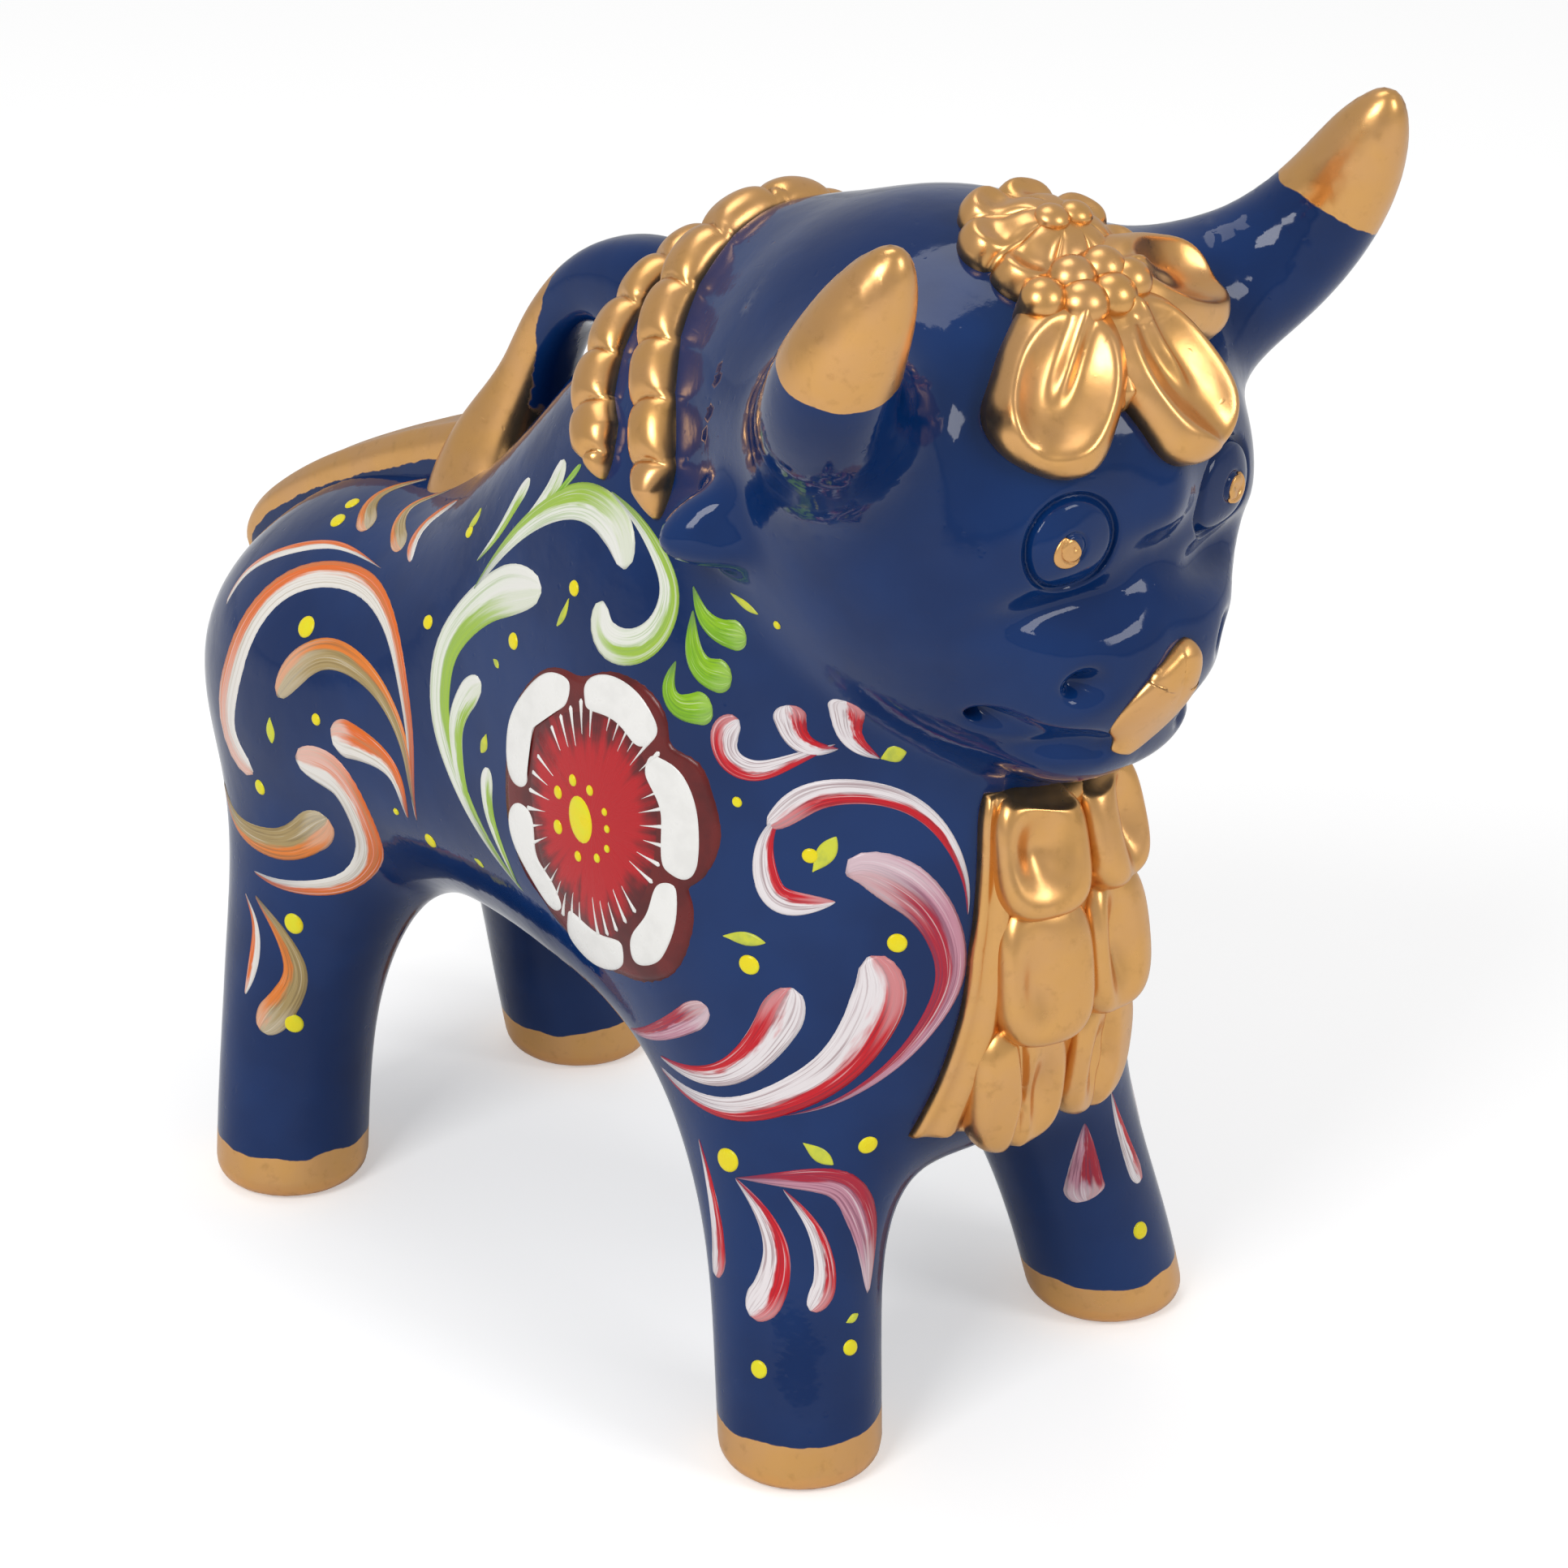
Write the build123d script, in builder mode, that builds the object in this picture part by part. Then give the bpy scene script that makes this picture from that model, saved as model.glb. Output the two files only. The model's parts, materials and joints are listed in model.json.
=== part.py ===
"""Pucara bull: a hollow fired-clay bull with a loop on its back, luted together from formed pieces.

The bull faces -Y and stands on Z = 0. It is even about X = 0, and its own right side is -X.
All sizes are in millimetres. Every applied piece is first made a little too deep and then cut
back by the form that carries it, so that it seats on that form face to face.
"""

import os
from math import cos, radians, sin, tan
from typing import NamedTuple

from build123d import *

os.makedirs("parts", exist_ok=True)


class Station(NamedTuple):
    """One cross section of a tube: two half ellipses that share their widest level."""

    at: float
    top: float
    bottom: float
    half_width: float
    widest: float


class Tip(NamedTuple):
    """The point where a tube closes."""

    at: float
    level: float


class Ring(NamedTuple):
    """One level of a leg, for a leg on the +X side."""

    z: float
    x: float
    y: float
    radius_x: float
    radius_y: float


# Clay
WALL = 4.5
SOLE_THICKNESS = 6
DRAIN_HOLE = 9
DRAIN_Y = 22
SEAT_DEPTH = 3

# Trunk: sections along Y, from chest to rump, at their heights above the floor
CHEST_TIP = Tip(-80, 84)
RUMP_TIP = Tip(102, 82)
TRUNK = [
    Station(-74, 128, 52, 19.5, 83),
    Station(-60, 163, 43, 33, 87),
    Station(-38, 182, 41, 41.5, 90),
    Station(-8, 170, 46.5, 41, 88),
    Station(12, 149, 51, 38.4, 87),
    Station(32, 127, 53, 38, 86),
    Station(60, 117.5, 53.5, 37, 85.5),
    Station(85, 106, 57.5, 28, 84),
    Station(97, 95, 66, 18, 82),
]

# Legs
FOOT_RADIUS = 12.6
FOOT_EDGE = 3
FRONT_LEG = [
    Ring(0, 34.5, -60.5, FOOT_RADIUS, FOOT_RADIUS),
    Ring(12, 32.5, -58, FOOT_RADIUS, FOOT_RADIUS),
    Ring(30, 28.8, -53, 13, 13.8),
    Ring(46, 25.5, -47.8, 14.5, 18.6),
    Ring(62, 22.5, -43.5, 15.5, 23),
    Ring(78, 19, -40.5, 16, 24.5),
    Ring(94, 13, -41, 14, 19),
]
REAR_LEG = [
    Ring(0, 32.6, 62, FOOT_RADIUS, FOOT_RADIUS),
    Ring(14, 30.5, 63, FOOT_RADIUS, FOOT_RADIUS),
    Ring(30, 28, 62.8, 12.8, 13.8),
    Ring(46, 25, 61.5, 14, 17.6),
    Ring(62, 21, 61, 15, 21.5),
    Ring(76, 16, 61.5, 15, 23),
    Ring(90, 11, 62, 14, 23),
]

# Head: sections along a line from the nape down to the nose, at their heights over that line
HEAD_START = (-30, 160)
HEAD_TILT = 28.5
NAPE_TIP = Tip(-11, 5)
NOSE_TIP = Tip(76.5, -6)
HEAD = [
    Station(-7, 22.5, -13.5, 17.5, 5),
    Station(6, 37, -29, 31, 5),
    Station(28, 44, -36, 38, 5),
    Station(48, 39.5, -32, 34, 5),
    Station(59, 31, -26.5, 28, 3),
    Station(66, 19, -23, 21.5, -1),
    Station(72.5, 8, -17.5, 15.5, -5),
]
NOSTRIL = (13.2, 128.9)
NOSTRIL_DIAMETER = 4.4
NOSTRIL_DEPTH = 3
MOUTH_FRONT = (-93, 119.5)
MOUTH_LENGTH = 14
MOUTH_GAP = 1.8
MOUTH_DEPTH = 3
MOUTH_TILT = 28

# Eyes
EYE = (16.8, 151.5)
EYE_RADIUS = 6.3
EYE_DOME = 1.6
EYE_GROOVE = 0.6
EYE_GROOVE_DEPTH = 1

# Horns: the left horn's line, and its thickness at each bend
HORN_LINE = [(21, -62, 158), (33, -68, 166), (43.5, -75, 172.5), (49.3, -82.5, 182.5), (49.6, -90.5, 197)]
HORN_THICKNESS = [30, 25.5, 20, 16.2, 8.4]
HORN_TIP = (49.3, -92, 201.6)

# Ears
EAR = (34.5, -50, 147.5)
EAR_LENGTH = 21
EAR_WIDTH = 12.5
EAR_SWEEP = 35
EAR_DROOP = 15
EAR_DIMPLE = 2.6

# Tongue
TONGUE_LENGTH = 17
TONGUE_WIDTH = 10.5
TONGUE_HEIGHT = 2.2
TONGUE_OFFSET = -1.5
TONGUE_LEVEL = 127

# Neck ropes, each a row of lobes laid in a leaning plane
ROPE_WIDTH = 7.3
ROPE_TIP_LENGTH = 7
ROPE_PITCH = 5.6
ROPE_STEP = 0.5
ROPE_END_LEVEL = 151
FRONT_ROPE_Y = -19.5
FRONT_ROPE_LEAN = 20
REAR_ROPE_Y = -6.5
REAR_ROPE_LEAN = 25

# Handle, in the mirror plane: places along it and heights over its foot
HANDLE_FOOT_Y = 41
HANDLE_BENDS = [(36.5, 4.5), (31, 13.5), (27, 22.5), (20, 31), (11, 35.5)]
HANDLE_NAPE_Y = -3
HANDLE_THICKNESS = 6.2
HANDLE_WIDTH = 10.5
HANDLE_FOOT_WIDTH = 15
HANDLE_FOOT_THICKNESS = 20

# Tail, laid along the back from the handle to the rump
TAIL_STEPS = [36, 50, 69, 85, 95, 102]
TAIL_WIDTHS = [12.5, 13.5, 13, 11, 8.5, 6]
TAIL_HEIGHTS = [8.5, 9, 7.5, 6.2, 5.6, 5.4]
TAIL_DROP = 3
TAIL_CORNER = 2.2

# Flower and ribbon on the forehead, laid out around the head's front
BROW_MIDDLE = (-57.5, 150.7)
BROW_TILT = 48
FLOWER_CENTRE = (0.5, 16.5)
FLOWER_RADIUS = 13
PETALS = 8
PETAL_WIDTH = 8.6
PETAL_LAP = 1.5
BEAD_RADIUS = 3.4
BUD_CENTRE = (-2.5, 5.5)
BUD_RADIUS = 4.6
BUD_BEADS = 6
BUD_BEAD_RADIUS = 2.3
BUD_RISE = 2.4
RIBBON_KNOT = (-2.5, 5.5)
RIBBON_START = 5
RIBBON_LENGTH = 26.5
RIBBON_WIDTH = 14.5
RIBBON_HEIGHT = 3.6
RIBBON_RIM = 2.2
RIBBON_HOLLOW = 1.8
RIBBON_ANGLES = {"ribbon_loop_right": 226, "ribbon_loop_front": 293, "ribbon_loop_left": 355}

# Frill on the dewlap: a pleated strip with three pairs of folds on it
FRILL_TOP = 107
FRILL_BOTTOM = 47
FRILL_TOP_WIDTH = 27
FRILL_BOTTOM_WIDTH = 38
FRILL_THICKNESS = 2.4
FRILL_BACK_Y = -56
FOLD_WIDTH = 11.8
FOLD_LENGTH = 21
FOLD_PLACES = {"upper": (-80, 96), "middle": (-81.5, 79), "lower": (-79, 61)}

# Lines that the trunk, the head and the brow are laid out on
TRUNK_AXIS = Plane((0, 0, 0), x_dir=(-1, 0, 0), z_dir=(0, 1, 0))
HEAD_LINE = Vector(0, -cos(radians(HEAD_TILT)), -sin(radians(HEAD_TILT)))
HEAD_AXIS = Plane((0, *HEAD_START), x_dir=(1, 0, 0), z_dir=HEAD_LINE)
BROW_LINE = Vector(0, -sin(radians(BROW_TILT)), cos(radians(BROW_TILT)))
BROW = Plane((0, *BROW_MIDDLE), x_dir=(1, 0, 0), z_dir=BROW_LINE)


def tube_section(axis, station, inset):
    """Return the face of one station of a tube along an axis plane, drawn in by the inset."""
    level = station.widest
    width = station.half_width - inset
    with BuildSketch(axis.offset(station.at)) as section:
        with BuildLine():
            EllipticalCenterArc((0, level), width, station.top - level - inset, 0, arc_size=180)
            EllipticalCenterArc((0, level), width, level - station.bottom - inset, 180, arc_size=180)
        make_face()
    return section.sketch.face()


def tube_form(axis, first, stations, last, inset=0):
    """Return a tube through its stations, closed at both tips; an inset gives the form inside it."""
    start = axis.from_local_coords(Vector(0, first.level, first.at + inset))
    end = axis.from_local_coords(Vector(0, last.level, last.at - inset))
    faces = [tube_section(axis, station, inset) for station in stations]
    with BuildPart() as tube:
        loft(sections=[Vertex(*start), *faces, Vertex(*end)])
    return tube.part


def trunk_form(inset=0):
    """Return the trunk, drawn in by the inset."""
    return tube_form(TRUNK_AXIS, CHEST_TIP, TRUNK, RUMP_TIP, inset)


def head_form(inset=0):
    """Return the head, drawn in by the inset."""
    return tube_form(HEAD_AXIS, NAPE_TIP, HEAD, NOSE_TIP, inset)


def trunk_value(y, name):
    """Return one size of the trunk at a place along it, between its stations."""
    for ahead, behind in zip(TRUNK, TRUNK[1:]):
        if ahead.at <= y <= behind.at:
            share = (y - ahead.at) / (behind.at - ahead.at)
            return getattr(ahead, name) * (1 - share) + getattr(behind, name) * share
    raise ValueError(f"no trunk at y = {y}")


def leg_form(rings, inset=0):
    """Return the leg on the +X side; a positive inset gives its cavity, closed at the sole."""
    sections = []
    for ring in rings:
        height = max(ring.z, SOLE_THICKNESS) if inset > 0 else ring.z
        with BuildSketch(Plane.XY.offset(height)) as level:
            with Locations((ring.x, ring.y)):
                Ellipse(ring.radius_x - inset, ring.radius_y - inset)
        sections.append(level.sketch.face())
    with BuildPart() as form:
        loft(sections=sections)
        if inset == 0:
            fillet(form.edges().group_by(Axis.Z)[0], FOOT_EDGE)
    return form.part


def mirrored(form):
    """Return the form of the other side."""
    with BuildPart() as other:
        add(form)
        mirror(about=Plane.YZ, mode=Mode.REPLACE)
    return other.part


def skin_plane(form, start, direction):
    """Return the plane that touches a form where a line from inside it comes out."""
    line = Axis(start, direction)
    crossings = form.find_intersection_points(line)
    point, normal = max(crossings, key=lambda crossing: (crossing[0] - line.position).dot(line.direction))
    if normal.dot(line.direction) < 0:
        normal = -normal
    return Plane(point, x_dir=Vector(0, 0, 1).cross(normal), z_dir=normal)


def save(form, name):
    """Label a finished piece and write its file."""
    form.label = name
    export_step(form, f"parts/{name}.step")


def save_pair(form, name):
    """Write a piece of the bull's left side, +X, and its mirror image on the right side."""
    save(form, name.format(side="left"))
    save(mirrored(form), name.format(side="right"))


# Raw forms that carry the rest
trunk_outside = trunk_form()
trunk_inside = trunk_form(WALL)

head_outside = head_form()
head_inside = head_form(WALL)

# Legs: hollow cups whose rims seat on the trunk
leg_hollows = []
legs = []
for name, rings in (("front_{side}_leg", FRONT_LEG), ("rear_{side}_leg", REAR_LEG)):
    leg_inside = leg_form(rings, WALL)
    leg_hollows += [leg_inside, mirrored(leg_inside)]
    with BuildPart() as leg:
        add(leg_form(rings))
        add(trunk_outside, mode=Mode.SUBTRACT)
        add(leg_inside, mode=Mode.SUBTRACT)
    legs += [leg.part, mirrored(leg.part)]
    save_pair(leg.part, name)

# Body shell: one hollow, open into the legs and the head, with a drain hole in the belly
with BuildPart() as body_shell:
    add(trunk_outside)
    add(trunk_inside, mode=Mode.SUBTRACT)
    for hollow in leg_hollows:
        add(hollow, mode=Mode.SUBTRACT)
    add(head_inside, mode=Mode.SUBTRACT)
    with BuildSketch():
        with Locations((0, DRAIN_Y)):
            Circle(DRAIN_HOLE / 2)
    extrude(amount=trunk_value(DRAIN_Y, "widest"), mode=Mode.SUBTRACT)
save(body_shell.part, "body_shell")


def face_place(x, z):
    """Return the plane that touches the front of the head at a given x and z."""
    return skin_plane(head_outside, (x, HEAD_START[0], z), (0, -1, 0))


def brow_place(across, up):
    """Return the plane that touches the brow at a place across and up from its middle."""
    return skin_plane(head_outside, BROW.from_local_coords(Vector(across, up, 0)), BROW.z_dir)


# Eyes: domed pellets, one on each side of the bridge of the nose
eye_planes = [face_place(side * EYE[0], EYE[1]) for side in (1, -1)]
with BuildPart() as eye:
    left_eye = eye_planes[0]
    with BuildSketch(Plane(left_eye.origin, x_dir=left_eye.x_dir, z_dir=-left_eye.y_dir)):
        with BuildLine():
            TangentArc((0, EYE_DOME), (EYE_RADIUS, 0), tangent=(1, 0))
            Polyline((EYE_RADIUS, 0), (EYE_RADIUS, -SEAT_DEPTH), (0, -SEAT_DEPTH), (0, EYE_DOME))
        make_face()
    revolve(axis=Axis(left_eye.origin, left_eye.z_dir))
save_pair(eye.part, "{side}_eye")

# Mouth: a slit that follows the muzzle's skin, kept shallow by the form inside it
mouth_tilt = radians(MOUTH_TILT)
with BuildPart() as mouth_slit:
    with BuildSketch(Plane((0, *MOUTH_FRONT), x_dir=(1, 0, 0), z_dir=(0, sin(mouth_tilt), cos(mouth_tilt)))):
        Rectangle(4 * HEAD[0].half_width, 2 * MOUTH_LENGTH)
    extrude(amount=MOUTH_GAP / 2, both=True)
    add(head_form(MOUTH_DEPTH), mode=Mode.SUBTRACT)

# Head: hollow, open to the neck, with nostrils, the mouth slit and a socket for each eye
with BuildPart() as head:
    add(head_outside)
    add(trunk_outside, mode=Mode.SUBTRACT)
    add(head_inside, mode=Mode.SUBTRACT)
    add(mouth_slit.part, mode=Mode.SUBTRACT)
    for plane in eye_planes:
        with BuildSketch(plane.offset(-SEAT_DEPTH)):
            Circle(EYE_RADIUS)
        extrude(amount=2 * SEAT_DEPTH, mode=Mode.SUBTRACT)
        with BuildSketch(plane.offset(-EYE_GROOVE_DEPTH)):
            Circle(EYE_RADIUS + EYE_GROOVE)
        extrude(amount=2 * SEAT_DEPTH, mode=Mode.SUBTRACT)
    for side in (1, -1):
        nostril_plane = face_place(side * NOSTRIL[0], NOSTRIL[1])
        with BuildSketch(nostril_plane.offset(-NOSTRIL_DEPTH)):
            Circle(NOSTRIL_DIAMETER / 2)
        extrude(amount=3 * NOSTRIL_DEPTH, mode=Mode.SUBTRACT)
save(head.part, "head")


def relief(prism, height):
    """Return the layer of a prism that lies on the head's skin, up to a height over it."""
    with BuildPart() as above:
        add(prism)
        add(head_form(-height), mode=Mode.SUBTRACT)
    with BuildPart() as layer:
        add(prism)
        add(above.part, mode=Mode.SUBTRACT)
        add(head_outside, mode=Mode.SUBTRACT)
    return layer.part


# Tongue: a lobe out of the mouth and up over the muzzle, sunk into the skin at its edges
tongue_plane = face_place(TONGUE_OFFSET, TONGUE_LEVEL).offset(TONGUE_HEIGHT - TONGUE_WIDTH / 2)
with BuildPart() as tongue:
    with BuildSketch(Plane(tongue_plane.origin, x_dir=tongue_plane.y_dir, z_dir=tongue_plane.x_dir)):
        with BuildLine():
            EllipticalCenterArc((0, 0), TONGUE_LENGTH / 2, TONGUE_WIDTH / 2, 0, arc_size=180)
            Line((TONGUE_LENGTH / 2, 0), (-TONGUE_LENGTH / 2, 0))
        make_face()
    revolve(axis=Axis(tongue_plane.origin, tongue_plane.y_dir))
    add(head_outside, mode=Mode.SUBTRACT)
save(tongue.part, "tongue")

# Horns: solid, bent up and forward, thick at the root and round at the tip
with BuildPart() as horn:
    with BuildLine():
        horn_line = Spline(*HORN_LINE)
    rings = []
    for step, thickness in enumerate(HORN_THICKNESS):
        share = horn_line.param_at_point(HORN_LINE[step])
        with BuildSketch(Plane(horn_line @ share, z_dir=horn_line % share)) as ring:
            Circle(thickness / 2)
        rings.append(ring.sketch.face())
    loft(sections=[*rings, Vertex(*HORN_TIP)])
    add(head_outside, mode=Mode.SUBTRACT)
    add(trunk_outside, mode=Mode.SUBTRACT)
horn_outside = horn.part
save_pair(horn_outside, "{side}_horn")

# Ears: plump leaves below and behind the horns, each with a thumbed dimple
sweep_angle = radians(EAR_SWEEP)
droop_angle = radians(EAR_DROOP)
ear_line = Vector(
    cos(sweep_angle) * cos(droop_angle), sin(sweep_angle) * cos(droop_angle), -sin(droop_angle)
)
ear_plane = Plane(EAR, x_dir=ear_line, z_dir=ear_line.cross(Vector(0, 0, 1)))
with BuildPart() as ear:
    with BuildSketch(ear_plane):
        with BuildLine():
            EllipticalCenterArc((0, 0), EAR_LENGTH / 2, EAR_WIDTH / 2, 0, arc_size=180)
            Line((EAR_LENGTH / 2, 0), (-EAR_LENGTH / 2, 0))
        make_face()
    revolve(axis=Axis(EAR, ear_line))
    with Locations(ear_plane.offset(EAR_WIDTH / 2)):
        with Locations((EAR_LENGTH / 5, 0)):
            Sphere(EAR_DIMPLE, mode=Mode.SUBTRACT)
    for form in (head_outside, trunk_outside, horn_outside):
        add(form, mode=Mode.SUBTRACT)
save_pair(ear.part, "{side}_ear")


def rope_point(turn, crest_y, lean):
    """Return the point on the trunk's skin at a turn down from the crest, in a leaning plane."""
    slope = tan(radians(lean))
    level = trunk_value(crest_y, "widest")
    start = (0, crest_y - (trunk_value(crest_y, "top") - level) * slope, level)
    return skin_plane(trunk_outside, start, (sin(turn), cos(turn) * slope, cos(turn))).origin


def rope_line(crest_y, lean):
    """Return the places of the lobes down the left side, one pitch apart, the crest's first."""
    places = [rope_point(0, crest_y, lean)]
    turn = 0
    while places[-1].Z > ROPE_END_LEVEL:
        turn += radians(ROPE_STEP)
        point = rope_point(turn, crest_y, lean)
        if (point - places[-1]).length >= ROPE_PITCH:
            places.append(point)
    return places


def rope(crest_y, lean):
    """Return a rope of round lobes over the neck, with a drawn-out lobe at each end."""
    places = rope_line(crest_y, lean)
    row = [Vector(-place.X, place.Y, place.Z) for place in reversed(places[1:])] + places
    tip_line = places[-1] - places[-2]
    with BuildPart() as tip:
        with BuildSketch(Plane(places[-1], x_dir=tip_line, z_dir=tip_line.cross(Vector(0, 1, 0)))):
            with BuildLine():
                EllipticalCenterArc((0, 0), ROPE_TIP_LENGTH, ROPE_WIDTH / 2, 0, arc_size=90)
                Polyline((0, ROPE_WIDTH / 2), (0, 0), (ROPE_TIP_LENGTH, 0))
            make_face()
        revolve(axis=Axis(places[-1], tip_line))
    with BuildPart() as cord:
        with Locations(*row):
            Sphere(ROPE_WIDTH / 2)
        add(tip.part)
        add(mirrored(tip.part))
        add(trunk_outside, mode=Mode.SUBTRACT)
    return cord.part


# Ropes: two cords of clay lobes over the neck
front_rope = rope(FRONT_ROPE_Y, FRONT_ROPE_LEAN)
rear_rope = rope(REAR_ROPE_Y, REAR_ROPE_LEAN)
save(front_rope, "neck_rope_front")
save(rear_rope, "neck_rope_rear")

# Handle: a flat strap from a broad foot on the back to the nape, with a finger gap under it
handle_base = trunk_value(HANDLE_FOOT_Y, "top")
handle_points = [
    (0, HANDLE_FOOT_Y, handle_base - SEAT_DEPTH),
    *[(0, y, handle_base + rise) for y, rise in HANDLE_BENDS],
    (0, HANDLE_NAPE_Y, trunk_value(HANDLE_NAPE_Y, "top") - SEAT_DEPTH),
]
with BuildPart() as back_handle:
    with BuildLine():
        handle_line = Spline(*handle_points)
    sections = []
    for number, point in enumerate(handle_points):
        share = handle_line.param_at_point(point)
        with BuildSketch(Plane(point, x_dir=(1, 0, 0), z_dir=handle_line % share)) as section:
            if number == 0:
                Ellipse(HANDLE_FOOT_WIDTH / 2, HANDLE_FOOT_THICKNESS / 2)
            else:
                Ellipse(HANDLE_WIDTH / 2, HANDLE_THICKNESS / 2)
        sections.append(section.sketch.face())
    loft(sections=sections)
    add(trunk_outside, mode=Mode.SUBTRACT)
    add(rear_rope, mode=Mode.SUBTRACT)
save(back_handle.part, "back_handle")

# Tail: a square-edged strip down the back, out past the rump
with BuildPart() as tail:
    sections = []
    for y, width, height in zip(TAIL_STEPS, TAIL_WIDTHS, TAIL_HEIGHTS):
        crest = trunk_value(min(y, TRUNK[-1].at), "top") - TAIL_DROP * (y > TRUNK[-1].at)
        with BuildSketch(Plane.XZ.offset(-y)) as section:
            with Locations((0, crest)):
                RectangleRounded(width, 2 * height, TAIL_CORNER)
        sections.append(section.sketch.face())
    loft(sections=sections)
    add(trunk_outside, mode=Mode.SUBTRACT)
    add(back_handle.part, mode=Mode.SUBTRACT)
save(tail.part, "tail")


# Bud: a small ring of beads where the ribbon is tied
bud_plane = brow_place(*BUD_CENTRE)
with BuildPart(bud_plane) as bud_form:
    with Locations((0, 0, BUD_RISE)):
        Sphere(BUD_BEAD_RADIUS)
        with PolarLocations(BUD_RADIUS, BUD_BEADS):
            Sphere(BUD_BEAD_RADIUS)
    Sphere(BUD_RADIUS)
with BuildPart() as ribbon_bud:
    add(bud_form.part)
    add(head_outside, mode=Mode.SUBTRACT)
save(ribbon_bud.part, "ribbon_bud")

# Flower: a ring of plump petals around a bead on top of the forehead, tucked under the bud
flower_plane = brow_place(*FLOWER_CENTRE)
petal_middle = (FLOWER_RADIUS + BEAD_RADIUS - PETAL_LAP) / 2
petal_length = FLOWER_RADIUS - BEAD_RADIUS + PETAL_LAP
with BuildPart(flower_plane) as flower_form:
    with BuildSketch(Plane.XY, mode=Mode.PRIVATE) as half_petal:
        with BuildLine():
            EllipticalCenterArc((0, 0), petal_length / 2, PETAL_WIDTH / 2, 0, arc_size=180)
            Line((petal_length / 2, 0), (-petal_length / 2, 0))
        make_face()
    petal = Solid.revolve(half_petal.sketch.face(), 360, Axis.X)
    with PolarLocations(petal_middle, PETALS):
        add(petal)
    Sphere(BEAD_RADIUS)
with BuildPart() as forehead_flower:
    add(flower_form.part)
    add(head_outside, mode=Mode.SUBTRACT)
    add(ribbon_bud.part, mode=Mode.SUBTRACT)
save(forehead_flower.part, "forehead_flower")


def loop_prism(plane, edge):
    """Return the prism of one ribbon loop, drawn in by an edge, from inside the head outwards."""
    with BuildPart() as prism:
        with BuildSketch(plane):
            with Locations((RIBBON_START, 0)):
                Circle(RIBBON_RIM)
            with Locations((RIBBON_LENGTH - RIBBON_WIDTH / 2, 0)):
                Circle(RIBBON_WIDTH / 2)
            make_hull()
            if edge > 0:
                offset(amount=-edge)
        extrude(amount=2 * HEAD[2].half_width)
    return prism.part


# Ribbon: three loops that fan out from the bud, each with a raised rim around its hollow
knot = BROW.from_local_coords(Vector(*RIBBON_KNOT, 0))
neighbours = [forehead_flower.part, ribbon_bud.part, horn_outside]
for name, angle in RIBBON_ANGLES.items():
    loop_line = BROW.x_dir * cos(radians(angle)) + BROW.y_dir * sin(radians(angle))
    loop_plane = Plane(knot, x_dir=loop_line, z_dir=BROW.z_dir)
    with BuildPart() as loop_hollow:
        add(loop_prism(loop_plane, RIBBON_RIM))
        add(head_form(-RIBBON_HOLLOW), mode=Mode.SUBTRACT)
    with BuildPart() as ribbon_loop:
        add(relief(loop_prism(loop_plane, 0), RIBBON_HEIGHT))
        for form in (loop_hollow.part, *neighbours):
            add(form, mode=Mode.SUBTRACT)
    neighbours.append(ribbon_loop.part)
    save(ribbon_loop.part, name)

# Frill strip: a thin flared band that lies on the chest
with BuildPart() as frill_strip:
    with BuildSketch(Plane.XZ.offset(-FRILL_BACK_Y)):
        with BuildLine():
            Polyline(
                (-FRILL_TOP_WIDTH / 2, FRILL_TOP),
                (FRILL_TOP_WIDTH / 2, FRILL_TOP),
                (FRILL_BOTTOM_WIDTH / 2, FRILL_BOTTOM),
                (-FRILL_BOTTOM_WIDTH / 2, FRILL_BOTTOM),
                close=True,
            )
        make_face()
    extrude(amount=FRILL_TOP_WIDTH + FRILL_BOTTOM_WIDTH)
    add(trunk_form(-FRILL_THICKNESS), mode=Mode.INTERSECT)
    for form in (trunk_outside, head_outside, *legs[:2]):
        add(form, mode=Mode.SUBTRACT)
save(frill_strip.part, "frill_strip")

# Frill folds: plump folds in pairs, each tier tucked under the one above it
above = None
for tier, (y, level) in FOLD_PLACES.items():
    with BuildPart() as fold:
        with BuildSketch(Plane((FOLD_WIDTH / 2, y, level), x_dir=(0, 0, 1), z_dir=(0, -1, 0))):
            with BuildLine():
                EllipticalCenterArc((0, 0), FOLD_LENGTH / 2, FOLD_WIDTH / 2, 0, arc_size=180)
                Line((-FOLD_LENGTH / 2, 0), (FOLD_LENGTH / 2, 0))
            make_face()
        revolve(axis=Axis((FOLD_WIDTH / 2, y, level), (0, 0, 1)))
        for form in (trunk_outside, head_outside, frill_strip.part):
            add(form, mode=Mode.SUBTRACT)
        if above is not None:
            add(above, mode=Mode.SUBTRACT)
    above = fold.part
    save_pair(fold.part, f"frill_fold_{tier}_{{side}}")
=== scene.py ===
"""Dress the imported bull: a glossy blue clay skin, gold trimmings and brush-painted scrolls.

The skin is one closed surface, where a field that blends trunk, head, legs, horns and ears is zero.
Everything applied or painted is a surface of two parameters laid onto that skin.
Sizes are in millimetres until a mesh is made; Blender gets metres.
"""

import json
import logging
from collections.abc import Callable
from dataclasses import dataclass, field
from enum import Enum

import bmesh
import bpy
import numpy as np
from mathutils import Matrix, Vector

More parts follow.
